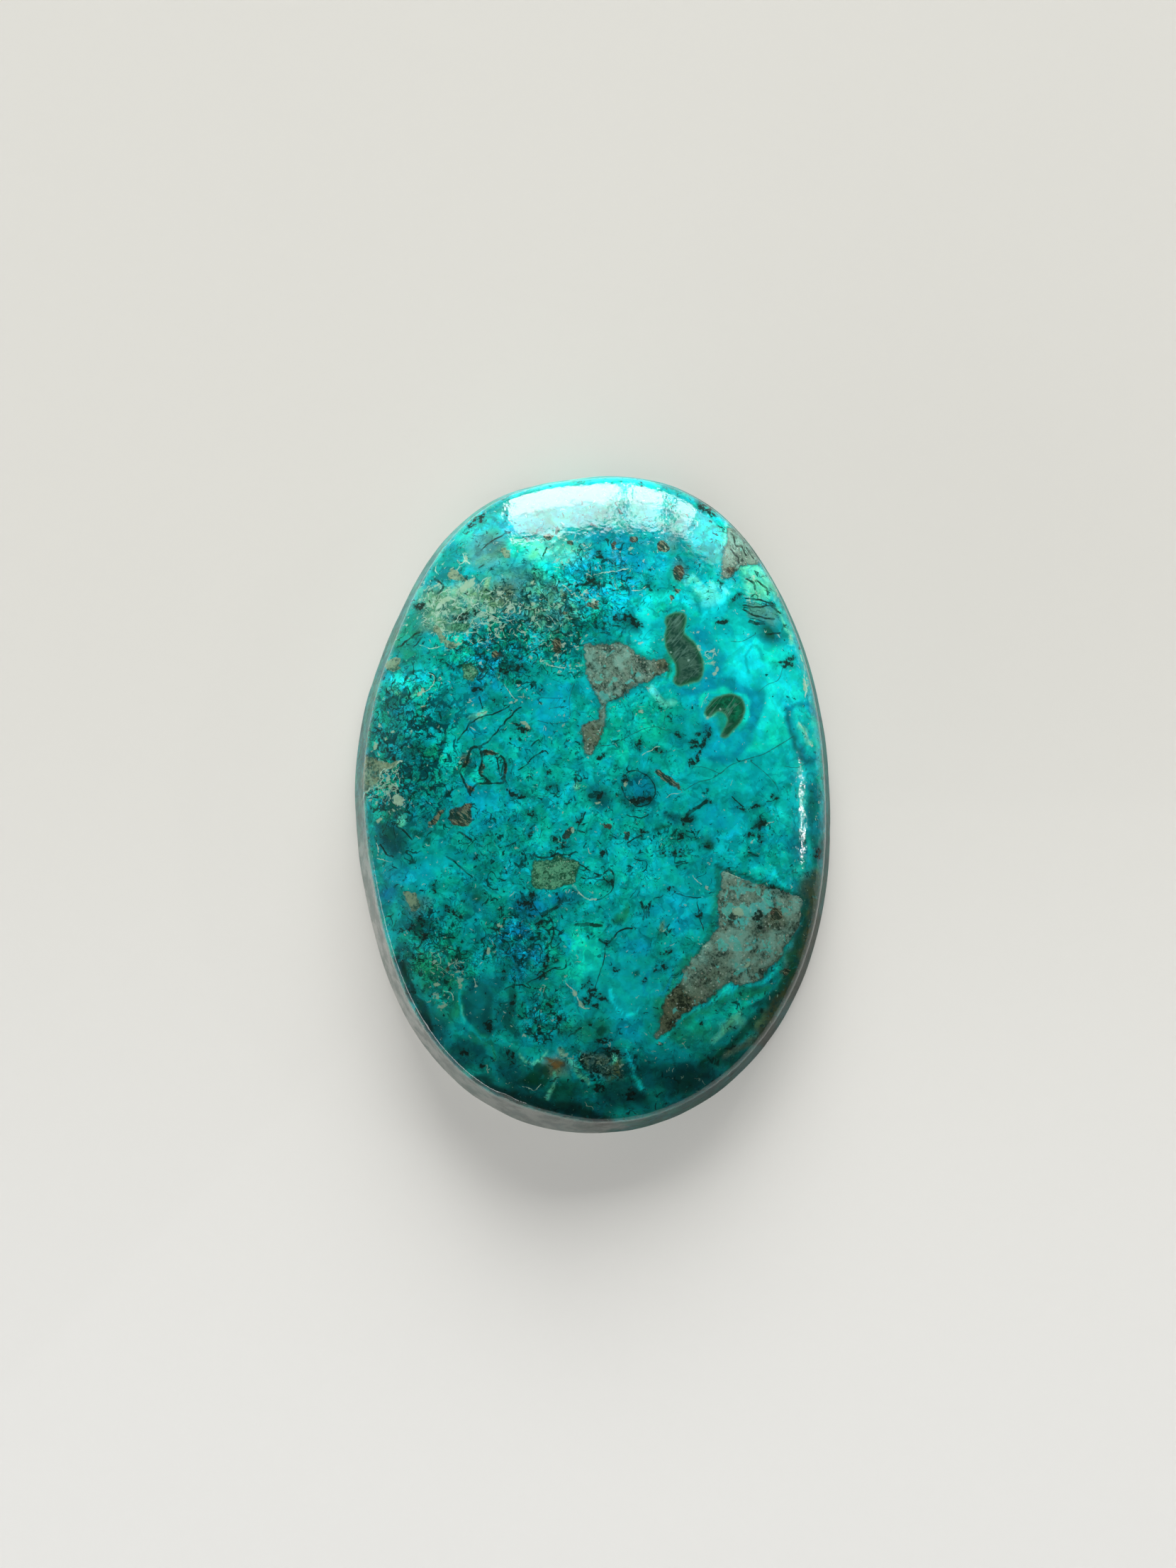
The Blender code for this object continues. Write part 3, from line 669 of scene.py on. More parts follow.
# Black green blots: middle, half length, half width, turn in degrees.
DARK_BLOTS = (
    (-6.0, 8.7, 0.34, 0.26, 20), (-5.1, 9.0, 0.40, 0.24, 15), (-7.8, 7.4, 0.20, 0.16, 0),
    (-4.7, 4.9, 0.50, 0.24, -25), (-5.1, 5.3, 0.16, 0.12, 0), (-10.4, 4.8, 0.16, 0.11, -30),
    (10.95, -7.6, 0.28, 0.38, 0), (11.0, -8.3, 0.16, 0.14, 0), (12.0, -6.6, 0.13, 0.18, 0),
    (-4.5, -6.85, 0.40, 0.20, -10), (-4.1, -6.2, 0.16, 0.34, 20), (-3.5, -8.2, 0.24, 0.18, 0),
    (3.2, -2.1, 0.24, 0.26, 0), (4.7, -3.4, 0.15, 0.18, 0), (5.65, -3.35, 0.32, 0.20, -10),
    (5.8, -2.3, 0.15, 0.20, -30), (7.7, -2.95, 0.22, 0.17, 0), (6.3, -1.2, 0.36, 0.24, 10),
    (7.65, 0.05, 0.20, 0.16, 0), (11.2, -1.55, 0.30, 0.20, 30), (10.5, -2.2, 0.18, 0.11, 0),
    (11.1, -2.55, 0.14, 0.30, 0), (2.9, 0.1, 0.42, 0.20, 15), (3.7, 0.1, 0.30, 0.14, 30),
    (2.1, 1.5, 0.20, 0.24, 0), (6.75, 3.9, 0.30, 0.24, 60), (7.0, 4.45, 0.13, 0.10, 0),
    (3.0, 3.8, 0.14, 0.22, 0), (4.4, 3.4, 0.24, 0.14, -20), (0.6, 3.05, 0.22, 0.10, 35),
    (5.6, 4.5, 0.22, 0.13, -30), (5.0, 5.7, 0.09, 0.08, 0), (-4.1, -0.8, 0.20, 0.15, 0),
    (-4.1, -2.2, 0.11, 0.17, 0), (-2.6, -2.6, 0.20, 0.18, 30), (-0.1, -12.75, 0.26, 0.34, 0),
    (-0.5, -13.3, 0.22, 0.17, 0), (0.1, -13.6, 0.22, 0.13, 0), (-0.4, -12.15, 0.30, 0.15, 40),
    (0.6, -13.1, 0.28, 0.18, -20), (1.55, -11.25, 0.18, 0.11, 0), (0.8, -15.85, 0.42, 0.20, 5),
    (-8.7, -11.1, 0.22, 0.17, 0), (-6.9, -14.9, 0.26, 0.36, 0), (-5.3, -13.5, 0.16, 0.42, -10),
    (-5.4, -17.0, 0.20, 0.46, 20), (-7.3, -17.5, 0.10, 0.14, 0), (-8.5, -16.7, 0.22, 0.17, 0),
    (-11.6, 13.0, 0.30, 0.26, 0), (-8.7, 12.35, 0.55, 0.20, 12), (-8.0, 12.6, 0.20, 0.16, 0),
    (0.2, -17.8, 0.32, 0.18, -10), (0.4, -19.0, 0.36, 0.22, 0), (2.5, -19.4, 0.26, 0.30, 0),
    (1.4, -16.6, 0.46, 0.10, -12), (-0.7, -17.3, 0.14, 0.34, 20), (12.9, 9.3, 0.46, 0.18, 8),
    (13.3, 9.6, 0.16, 0.12, 0), (2.6, 12.2, 0.60, 0.18, -22), (1.6, 12.4, 0.30, 0.14, 20),
    (3.0, 11.9, 0.26, 0.16, 0), (9.6, 13.75, 0.26, 0.11, 40), (-3.5, 7.4, 0.10, 0.08, 0),
    (-6.5, 6.6, 0.22, 0.09, -50), (-7.8, -3.8, 0.14, 0.11, 0), (-10.6, -5.9, 0.07, 0.20, 0),
    (-9.4, -7.35, 0.52, 0.17, -35), (-11.3, -9.0, 0.40, 0.20, 0), (-11.4, -8.0, 0.40, 0.18, -45),
    (-12.1, -8.4, 0.16, 0.24, 20), (-3.7, -14.6, 0.15, 0.10, 30), (-2.1, -15.2, 0.24, 0.20, -20),
    (-2.9, -13.5, 0.14, 0.18, 0), (-4.3, -13.2, 0.20, 0.09, 10), (-2.2, -14.6, 0.12, 0.22, 0),
    (15.0, -3.5, 0.22, 0.30, 0), (5.0, -10.0, 0.28, 0.08, 20), (4.7, -10.9, 0.14, 0.20, 20),
    (3.4, -11.9, 0.13, 0.18, 0), (4.2, -11.2, 0.11, 0.16, 0), (-13.3, 2.9, 0.12, 0.10, 0),
    (9.8, -0.35, 0.24, 0.08, -25), (10.6, -0.4, 0.28, 0.08, 12), (12.1, 0.3, 0.16, 0.12, -20),
    (0.9, -9.5, 0.20, 0.17, 0), (-0.2, -14.8, 0.12, 0.09, 0), (7.2, -14.7, 0.11, 0.10, 0),
    (-1.9, -2.9, 0.38, 0.16, 30), (-1.0, -1.3, 0.16, 0.30, -30), (0.6, -3.4, 0.18, 0.20, 0),
    (-3.5, -11.6, 0.32, 0.20, 10), (-3.1, -10.7, 0.16, 0.30, -15), (-5.9, -11.5, 0.09, 0.20, 0),
    (-6.1, -7.1, 0.14, 0.08, 40), (-2.9, 2.0, 0.30, 0.09, 50), (-2.8, 0.9, 0.26, 0.14, 20),
    (0.4, 16.6, 0.28, 0.20, -40), (-0.1, 14.9, 0.34, 0.12, 20), (-4.0, 14.9, 0.16, 0.12, 0),
    (7.6, 19.8, 0.60, 0.26, -35), (-7.9, 18.8, 0.60, 0.18, 40), (8.6, 12.1, 0.30, 0.16, 0),
)
DARK_SHAPES = (
    ((-5.7, 0.8), (-5.4, 0.35), (-4.9, 0.2), (-4.3, 0.5), (-4.9, 0.5), (-5.3, 0.6)),
    ((4.8, -5.75), (5.4, -5.7), (5.5, -6.3), (5.2, -6.0)),
    ((6.8, -7.5), (7.5, -6.9), (7.2, -7.2), (7.1, -7.7)),
    ((0.35, 0.0), (0.2, 0.35), (0.5, 0.6), (0.8, 0.5), (0.75, 0.2), (0.55, 0.0)),
    ((7.75, 5.1), (7.9, 5.0), (7.7, 4.3), (7.2, 3.4), (6.9, 2.5), (6.4, 2.3), (6.5, 2.8),
     (6.9, 2.9), (7.2, 3.7), (7.4, 4.3)),
    ((11.6, -5.7), (12.0, -5.6), (12.5, -5.9), (12.9, -6.1), (12.2, -6.0)),
)

# Brown grained slivers.
BROWN_BLOTS = (
    (4.95, 1.5, 1.10, 0.24, -36), (-10.5, -1.25, 0.86, 0.17, 50), (12.15, -7.55, 0.45, 0.40, 0),
    (-2.4, 10.4, 0.30, 0.55, 15), (5.3, 13.7, 0.20, 0.17, 0), (5.6, 14.15, 0.24, 0.15, 0),
    (-1.9, 12.6, 0.22, 0.16, -30), (-6.5, 9.8, 0.26, 0.30, 0), (9.2, 15.6, 0.30, 0.30, 0),
    (2.2, -2.3, 0.24, 0.36, 0), (0.9, -1.65, 0.34, 0.18, 8), (-1.7, -2.15, 0.22, 0.42, -35),
    (-8.5, 2.5, 0.34, 0.14, 60), (-7.0, 3.25, 0.40, 0.15, -15), (-7.4, 2.2, 0.12, 0.42, 0),
    (-5.85, 2.2, 0.11, 0.62, 0), (-8.2, 0.9, 0.34, 0.12, -55), (-9.7, -11.1, 0.13, 0.24, 0),
    (5.7, 15.4, 0.36, 0.55, 0), (4.7, 17.2, 0.40, 0.40, 0), (2.7, 17.7, 0.26, 0.24, 0),
    (12.75, -11.3, 0.30, 0.20, 20), (-3.0, 17.8, 0.34, 0.20, 0), (-1.5, 17.4, 0.24, 0.20, 0),
    (1.4, 17.3, 0.16, 0.36, -20), (0.0, 13.2, 0.50, 0.24, -10),
)
BROWN_SHAPES = (
    ((-9.5, -0.6), (-9.1, -0.5), (-8.2, -0.1), (-8.1, -0.9), (-8.3, -1.7), (-9.3, -1.6), (-9.55, -1.1)),
)

# Cream and pale green specks.
PALE_BLOTS = (
    (-12.95, 0.05, 0.34, 0.36, 0), (-8.6, 16.3, 0.10, 0.26, 10), (-1.4, -2.0, 0.17, 0.14, 0),
    (-4.0, -2.05, 0.07, 0.07, 0), (-7.6, 5.8, 0.20, 0.13, 25), (-7.15, 5.85, 0.17, 0.12, 20),
    (-4.5, 5.1, 0.36, 0.16, -40), (4.7, -8.55, 0.22, 0.12, 0), (9.6, -7.3, 0.40, 0.24, 10),
    (-6.9, -9.95, 0.11, 0.28, -8), (-14.2, -1.35, 0.28, 0.11, 60), (-12.1, -0.2, 0.24, 0.08, -50),
    (-14.5, 3.6, 0.30, 0.12, 60), (-13.8, 4.1, 0.12, 0.10, 0), (-13.4, 4.6, 0.11, 0.09, 0),
    (-12.2, 4.6, 0.15, 0.09, 20), (-14.2, 5.0, 0.12, 0.11, 0), (-14.8, 0.0, 0.12, 0.10, 0),
    (-13.5, 0.9, 0.10, 0.16, 0), (-13.6, 1.4, 0.16, 0.10, 40), (-14.4, -0.2, 0.16, 0.08, 30),
    (7.1, 10.3, 0.26, 0.10, -30), (8.3, 9.7, 0.07, 0.06, 0), (8.0, 9.4, 0.22, 0.09, 20),
    (8.25, 8.95, 0.10, 0.16, -30), (7.6, 8.3, 0.10, 0.07, 40), (6.9, 11.4, 0.20, 0.07, 15),
    (7.2, 10.8, 0.09, 0.08, 0), (6.9, 7.6, 0.24, 0.05, 50), (8.1, 8.6, 0.14, 0.05, 60),
    (7.7, 5.62, 0.22, 0.08, 0), (4.6, 11.0, 0.16, 0.07, 60), (-1.8, -16.85, 0.17, 0.17, 0),
    (-9.9, -13.6, 0.30, 0.10, 10), (-10.3, -12.2, 0.16, 0.10, 0), (-8.8, -12.35, 0.12, 0.10, 0),
    (-10.3, -13.0, 0.12, 0.16, 0), (-0.8, -13.5, 0.22, 0.14, -40), (-1.3, -12.7, 0.16, 0.22, 30),
    (2.2, 1.2, 0.11, 0.17, 0), (-9.2, 10.5, 0.30, 0.12, -10), (-8.9, 16.0, 0.14, 0.10, 0),
    (11.9, 9.9, 0.06, 0.05, 0), (-1.9, 5.1, 0.12, 0.14, 0), (-3.3, 9.3, 0.24, 0.08, -40),
    (-11.5, 7.2, 0.30, 0.12, 40), (-11.4, 6.3, 0.20, 0.12, 10), (-0.9, 9.1, 0.30, 0.12, -20),
    (-4.1, 14.7, 0.24, 0.16, 0), (-4.0, 13.2, 0.12, 0.15, 0), (2.5, 17.0, 0.14, 0.12, 0),
    (4.8, 17.1, 0.07, 0.20, 0), (0.3, -0.08, 0.22, 0.06, 10), (10.2, -10.9, 0.24, 0.16, 60),
    (-8.4, 14.5, 0.60, 0.24, 40), (-9.9, 13.5, 0.35, 0.20, 30), (-10.4, 14.6, 0.26, 0.09, 30),
    (12.4, 14.0, 0.08, 0.20, 10), (13.3, 11.0, 0.14, 0.06, -50), (14.2, 7.8, 0.12, 0.40, 8),
)

# Dark veinlets: half width, and the points they run through.
VEINS = (
    (0.07, (-8.9, 2.0), (-8.4, 2.6), (-8.2, 3.4), (-7.8, 3.6), (-7.3, 3.4), (-6.7, 3.2),
     (-6.1, 3.0), (-5.85, 2.5), (-5.9, 1.6), (-6.0, 1.2)),
    (0.06, (-6.0, 1.2), (-6.8, 1.15), (-7.6, 1.15), (-8.0, 0.9), (-8.2, 0.5)),
    (0.06, (-8.9, 2.0), (-8.7, 1.5), (-8.4, 0.9), (-8.2, 0.4)),
    (0.08, (-7.5, 3.3), (-7.4, 2.6), (-7.6, 1.9), (-7.2, 1.5), (-6.8, 1.2)),
    (0.05, (-6.4, 2.9), (-6.3, 2.3), (-6.2, 1.7), (-5.9, 1.5)),
    (0.05, (-7.5, 3.6), (-6.8, 4.2), (-6.2, 4.9), (-5.8, 5.4), (-5.2, 6.0), (-4.8, 6.3)),
    (0.05, (-9.1, 4.0), (-8.7, 4.4), (-8.4, 4.9), (-7.8, 5.5), (-6.4, 5.9), (-5.6, 6.4)),
    (0.04, (-5.0, 2.1), (-4.4, 2.5), (-3.9, 3.0), (-3.3, 3.4), (-3.0, 3.2)),
    (0.06, (-4.0, -3.5), (-3.5, -3.8), (-2.8, -3.7), (-2.3, -3.5), (-1.9, -3.8)),
    (0.05, (-0.9, -4.2), (-0.1, -4.7), (0.5, -4.9), (1.1, -4.5), (1.4, -5.1), (1.3, -5.8)),
    (0.04, (-0.8, -5.1), (0.2, -5.2), (0.9, -5.3), (1.4, -5.4)),
    (0.05, (0.5, -4.9), (0.9, -5.3), (1.3, -5.6)),
    (0.03, (1.3, -5.8), (0.9, -6.3), (0.2, -6.6)),
    (0.09, (-3.4, -7.5), (-2.6, -7.2), (-2.1, -6.75), (-1.6, -6.6)),
    (0.05, (-2.3, -6.9), (-2.2, -6.5)), (0.05, (-2.0, -6.8), (-1.8, -6.4)),
    (0.11, (-1.2, -8.25), (-0.3, -8.2), (0.5, -8.3)),
    (0.05, (-2.9, -7.6), (-2.6, -8.4), (-2.7, -9.2)),
    (0.07, (3.3, -8.0), (3.4, -7.4), (3.2, -6.7)), (0.06, (3.4, -7.2), (3.9, -6.6)),
    (0.06, (3.7, -7.7), (3.7, -7.1)), (0.03, (4.1, -6.5), (4.7, -6.2)),
    (0.03, (5.5, -6.1), (6.4, -6.4), (7.2, -6.4)), (0.03, (7.0, -7.3), (6.9, -6.6)),
    (0.03, (7.0, -7.5), (7.3, -8.6)),
    (0.10, (6.2, -1.1), (6.4, -0.7), (7.1, -0.3), (7.6, 0.1)),
    (0.07, (10.5, -1.85), (11.1, -1.5), (11.5, -1.3)), (0.06, (11.1, -0.95), (11.2, -1.6)),
    (0.05, (9.3, 0.3), (9.7, -0.1), (10.0, -0.3)), (0.03, (11.6, 0.0), (12.4, 0.2)),
    (0.05, (10.4, -3.4), (10.8, -3.55), (11.0, -3.65)),
    (0.04, (2.2, -0.9), (3.2, -1.1), (3.7, -0.8)), (0.05, (2.2, -2.8), (2.9, -2.4), (3.3, -2.2)),
    (0.05, (-0.5, -0.7), (-0.7, -1.2), (-1.0, -1.6)), (0.05, (1.1, -2.2), (1.5, -2.5)),
    (0.05, (0.4, -9.2), (0.9, -9.5), (1.4, -9.0), (1.8, -8.6), (2.6, -8.4)),
    (0.03, (0.1, -12.5), (0.4, -11.5), (0.7, -10.5), (0.8, -9.8)),
    (0.05, (-4.3, -12.0), (-3.6, -11.7), (-2.8, -11.2), (-2.2, -11.0)),
    (0.05, (-9.7, -3.7), (-9.0, -4.2), (-8.4, -4.8), (-8.0, -5.1)),
    (0.06, (-8.8, -2.1), (-8.1, -2.6)), (0.06, (-14.1, -3.0), (-13.8, -3.5), (-13.3, -3.8)),
    (0.05, (-13.0, -1.7), (-12.4, -2.2), (-12.0, -2.6)), (0.05, (-7.6, 7.0), (-7.4, 6.2)),
    (0.05, (-1.2, -1.9), (-0.6, -2.1)), (0.05, (-1.6, -15.6), (-0.8, -15.0)),
    (0.04, (1.9, 1.6), (2.6, 2.05), (3.5, 1.8), (4.1, 1.0), (4.0, 0.2), (3.2, -0.35), (2.3, 0.1),
     (1.9, 1.0)),
    (0.10, (11.4, 12.0), (10.5, 12.1)), (0.06, (10.1, 12.9), (11.0, 12.5), (12.1, 12.3)),
    (0.06, (10.0, 13.3), (11.0, 13.1), (11.9, 13.2), (12.6, 12.7)),
    (0.05, (10.2, 13.7), (11.2, 13.6), (12.2, 13.3)), (0.07, (11.6, 11.3), (12.5, 11.35)),
    (0.06, (10.3, 15.0), (10.8, 14.8), (10.9, 14.3)), (0.06, (11.0, 14.9), (11.6, 14.4), (11.7, 14.0)),
    (0.05, (9.4, 17.9), (9.6, 17.3), (10.0, 17.2), (10.3, 16.6)),
    (0.05, (9.2, 17.0), (9.7, 16.5), (9.8, 16.1)), (0.05, (10.3, 17.2), (10.8, 16.4)),
    (0.05, (-13.1, 10.2), (-12.2, 10.9), (-11.6, 11.3)), (0.05, (-12.0, 10.3), (-11.4, 11.0)),
    (0.08, (-1.1, 14.5), (0.2, 14.7), (0.4, 14.4)), (0.05, (0.0, 15.5), (0.0, 15.0), (0.4, 14.8)),
    (0.06, (-10.6, 14.9), (-10.0, 14.4), (-10.4, 13.9)), (0.05, (-7.5, 16.9), (-6.6, 17.6), (-5.6, 18.1)),
    (0.04, (-4.2, -12.4), (-5.0, -12.2), (-5.9, -12.5)), (0.05, (-10.9, 8.6), (-10.5, 8.2), (-10.7, 7.9)),
    (0.06, (-3.1, 17.0), (-3.4, 16.5)), (0.05, (-9.9, -9.2), (-9.2, -9.1)),
)

# Fine cracks, darker than the ground and thin.
CRACKS = (
    (0.038, (13.4, 4.4), (12.1, 3.6), (11.4, 3.2), (10.4, 2.9), (9.8, 2.7), (9.1, 2.4), (8.5, 1.9),
     (7.8, 1.5), (7.0, 1.3), (6.0, 0.7)),
    (0.028, (10.4, 2.8), (11.3, 2.1), (12.1, 1.3), (12.4, 0.7)),
    (0.030, (11.1, 7.4), (11.7, 7.9), (12.4, 8.2), (12.7, 9.0)),
    (0.030, (0.4, 3.7), (1.4, 3.8), (1.9, 4.1), (2.6, 4.5), (3.5, 4.9), (4.3, 5.0), (4.6, 4.8),
     (5.2, 4.8)),
    (0.028, (4.7, 5.1), (4.8, 6.1), (4.4, 6.2)),
    (0.028, (-3.9, 7.0), (-3.0, 6.9), (-2.0, 6.9)),
    (0.034, (-2.9, 6.2), (-2.2, 6.3), (-1.5, 6.35)),
    (0.030, (-3.7, 5.4), (-2.8, 5.2), (-1.6, 5.3)),
    (0.028, (-1.2, 8.0), (-1.6, 6.8), (-1.5, 5.6)),
    (0.024, (12.8, 2.4), (13.6, 2.3), (14.2, 2.6)),
    (0.026, (8.4, 1.9), (7.4, 2.3), (6.6, 2.3)),
    (0.026, (9.2, 10.8), (10.0, 10.8), (10.9, 11.3)),
    (0.024, (-4.4, 0.0), (-3.9, 0.3), (-3.2, 0.3), (-2.6, -0.1)),
    (0.024, (3.4, -5.0), (3.6, -5.6), (3.5, -6.2)),
)

# Cream threads and pale edges.
THREADS = (
    (0.13, (13.8, 5.3), (14.1, 4.8), (14.4, 4.2), (14.6, 3.8)), (0.07, (13.9, 9.9), (14.2, 8.8)),
    (0.09, (-12.7, 2.7), (-13.4, 2.2), (-14.0, 2.0), (-14.2, 1.4), (-14.7, 0.9), (-15.1, 0.5),
     (-15.4, -0.1)),
    (0.06, (-10.6, 8.3), (-10.7, 7.8), (-11.2, 7.3), (-11.7, 7.1)), (0.05, (-10.6, 8.3), (-11.0, 8.6)),
    (0.07, (-3.6, 9.4), (-2.8, 9.1), (-1.9, 8.9)), (0.05, (-3.5, 9.6), (-3.2, 9.2)),
    (0.07, (-2.0, 14.5), (-1.3, 14.0), (-0.8, 13.7), (0.4, 13.45)),
    (0.05, (-1.5, 13.9), (-0.6, 13.5), (0.1, 13.3)),
    (0.06, (2.6, 14.2), (3.1, 14.2), (3.5, 14.4)),
    (0.06, (0.0, 15.2), (0.8, 15.4), (1.6, 15.5), (2.4, 15.7)),
    (0.10, (-1.3, -5.6), (-0.9, -6.1), (-0.4, -6.5), (0.2, -6.55)),
    (0.06, (-1.9, -11.9), (-1.5, -12.4), (-1.1, -12.9), (-0.8, -13.6), (-0.2, -13.8)),
    (0.07, (-8.7, 16.6), (-8.6, 16.2), (-8.3, 15.9)), (0.05, (-8.6, 16.2), (-8.9, 15.9)),
    (0.05, (3.3, 3.1), (4.0, 3.5), (4.5, 3.7)), (0.045, (7.2, 6.3), (7.5, 6.9), (7.7, 7.3)),
    (0.04, (7.0, 6.4), (7.6, 6.6)), (0.05, (11.5, -1.55), (12.0, -1.3)), (0.04, (6.6, -5.0), (7.2, -5.5)),
    (0.05, (6.9, -9.4), (7.5, -9.9)), (0.04, (7.2, -9.5), (7.8, -9.6)),
    (0.04, (4.8, 0.2), (5.3, 0.5), (5.9, 0.6)),
    (0.05, (-14.3, -3.8), (-13.8, -4.0), (-13.3, -4.1)), (0.05, (-14.2, -3.4), (-14.4, -2.8)),
    (0.05, (8.6, -4.7), (9.4, -4.95), (10.3, -5.3)), (0.06, (14.1, 8.6), (14.3, 7.6), (14.2, 7.0)),
    (0.06, (-9.3, 12.0), (-8.6, 12.8), (-8.0, 13.1), (-7.6, 13.3)),
    (0.05, (-11.6, 10.4), (-10.8, 10.2), (-10.0, 10.4)),
    (0.05, (-10.6, 13.6), (-10.0, 14.1), (-9.5, 14.0)), (0.05, (-7.9, 14.1), (-7.3, 14.9), (-6.8, 15.1)),
    (0.05, (-10.4, 16.0), (-10.6, 15.5), (-10.4, 15.2)), (0.04, (-9.3, 17.6), (-9.7, 17.1)),
    (0.05, (-4.6, -18.9), (-3.9, -19.1), (-3.4, -18.7)),
    (0.05, (-0.9, -17.2), (0.0, -16.9), (0.5, -17.5)),
    (0.05, (-8.9, 11.2), (-8.3, 11.3), (-7.6, 11.3)), (0.05, (-8.4, 10.8), (-8.0, 10.5)),
    (0.05, (-9.9, -12.6), (-9.4, -12.8), (-9.2, -13.3)), (0.05, (-5.9, 7.8), (-5.6, 7.3), (-5.2, 6.8)),
    (0.05, (9.0, 18.7), (9.7, 18.3), (10.4, 17.6), (11.0, 16.8)),
)

# How dense the fine markings are: a level all over, and then spots of other levels, each with its
# middle, half width and half height. Umber is where the host rock is browner, stain where copper has
# coloured it, net the busy mottle, seam the dark seams and fleck the cream crumbs.
DENSITIES = {
    "umber": (
        0.0,
        (0.90, 4.6, 9.2, 1.0, 0.8), (0.70, 0.0, 4.5, 0.9, 1.3), (0.95, 5.4, -13.8, 1.8, 2.2),
        (0.50, 7.6, -12.0, 1.8, 1.0), (0.60, 11.9, -8.2, 1.2, 0.9), (0.80, 12.6, -11.0, 1.0, 1.4),
    ),
    "stain": (
        0.30,
        (0.95, 10.2, -6.6, 2.4, 2.2), (1.00, 9.6, -9.7, 3.0, 0.6), (0.80, 12.6, -6.8, 1.0, 0.8),
        (0.45, 1.4, 9.0, 2.6, 1.8), (0.95, 0.6, 6.8, 1.0, 0.9), (0.80, 8.6, -11.8, 0.9, 0.6),
        (0.70, 10.4, -11.1, 1.0, 0.6), (0.40, 10.6, 16.2, 0.8, 0.6), (0.10, 11.6, -7.9, 1.2, 0.8),
    ),
    "net": (
        0.26,
        (0.36, -4.0, -3.0, 7.0, 9.0),
        (0.00, -7.6, -13.7, 1.0, 1.8), (0.60, -9.6, -10.8, 2.0, 2.0),
        (0.80, -3.0, 12.4, 5.0, 3.2), (0.60, 0.5, 15.2, 3.2, 1.8), (0.95, -7.0, 9.6, 3.6, 2.0),
        (0.72, -12.0, 3.4, 3.2, 5.4), (0.45, -5.8, -2.6, 2.6, 3.6), (0.90, -13.6, 0.4, 1.8, 2.0),
        (0.10, -10.4, -4.3, 2.0, 0.9), (0.85, -4.8, -9.4, 2.4, 2.4), (0.75, -10.6, -9.4, 2.4, 2.6),
        (0.75, -3.4, -14.2, 1.8, 1.6), (0.05, 10.5, 4.0, 4.6, 5.6), (0.05, 9.6, 10.4, 4.2, 3.4),
        (0.05, 4.0, 11.3, 1.4, 1.8), (0.35, 3.2, 5.4, 2.0, 1.8), (0.10, 6.2, -6.6, 1.8, 2.4),
        (0.05, 1.8, -12.6, 2.4, 2.6), (0.15, -1.0, -10.4, 1.2, 1.4), (0.40, 2.8, -3.2, 1.8, 2.6),
        (0.05, 8.6, -1.2, 1.4, 1.0), (0.35, 11.0, -2.4, 1.6, 1.6), (0.20, 7.0, -16.4, 4.4, 2.6),
        (0.20, -8.4, -16.4, 3.0, 2.0), (0.80, 0.6, -17.6, 1.6, 1.4), (0.05, -2.7, 6.2, 1.1, 1.6),
        (0.25, -8.2, 3.9, 1.4, 0.8), (0.10, -7.6, 0.2, 1.4, 0.7), (0.50, 5.6, -2.8, 1.6, 1.2),
        (0.20, -8.6, -8.8, 0.9, 0.7), (0.40, -10.6, 4.4, 1.0, 1.0),
    ),
    "seam": (
        0.35,
        (0.00, -7.6, -13.7, 1.0, 1.8),
        (1.00, -11.4, 3.4, 3.4, 5.6), (0.80, -3.0, 12.0, 5.0, 3.0), (0.05, 9.4, 8.0, 5.0, 7.0),
        (0.05, 2.0, -12.0, 2.4, 2.4), (0.10, -10.4, -4.3, 2.0, 0.9), (0.70, -10.0, -9.4, 2.6, 2.6),
        (0.70, 3.0, 0.8, 1.2, 1.1), (0.00, -2.7, 6.2, 1.2, 1.7), (0.15, 7.6, -1.4, 2.4, 1.4),
        (0.60, 0.8, -17.4, 2.0, 1.4), (0.15, -6.4, -1.0, 2.6, 2.4),
    ),
    "fleck": (
        0.10,
        (0.75, -9.6, 13.0, 2.4, 2.4), (0.70, -6.6, 12.4, 2.6, 1.8), (0.50, -3.6, 12.0, 2.0, 2.0),
        (0.75, -13.7, 0.9, 1.2, 1.8), (0.45, -2.4, 10.0, 1.8, 1.4), (0.00, 9.0, 3.0, 5.0, 7.0),
        (0.45, -9.8, -11.8, 1.6, 1.6), (0.35, -5.2, 7.2, 1.0, 1.0), (0.30, 2.6, 6.0, 0.9, 0.9),
        (0.45, -2.4, 17.0, 2.2, 1.0), (0.40, 10.9, 14.4, 0.8, 1.2), (0.35, 7.6, 9.6, 1.0, 1.6),
        (0.35, 1.0, -17.6, 1.3, 0.9), (0.05, -7.0, -1.0, 2.4, 2.0), (0.30, 0.6, 14.6, 2.0, 1.0),
        (0.05, 2.0, -11.0, 2.4, 3.4), (0.35, 1.2, 6.8, 0.5, 0.8),
    ),
}

# Clouds of the back: colour, size and seed.
BACK_CLOUDS = (
    ("turquoise", 9.0, 81),
    ("deep teal", 5.0, 83),
    ("green turquoise", 7.0, 85),
    ("sea green", 4.0, 87),
    ("azure", 6.0, 89),
    ("deep teal", 4.5, 91),
)


# ---------------------------------------------------------------- laying the markings on the mesh

FAR_OFF = 3.0  # mm: how far away a marking is taken to be where nothing is near
NOWHERE = 1e3  # mm: further than anything on the stone
CURVE_STEPS = (0.0, 0.25, 0.5, 0.75)  # where a curve gets points between each two of its own
RIPPLE_WAVES = 7

WASH_STRENGTH = 0.85
ORB_RING_STRENGTH = 0.7
PATCH_STRENGTH = 0.9

# The face is a little brighter below and towards the upper end.
RICHER_BELOW = 0.16
RICHER_ABOVE = 0.45
UPPER_END = (0.0, 15.0, 5.0, 2.4)


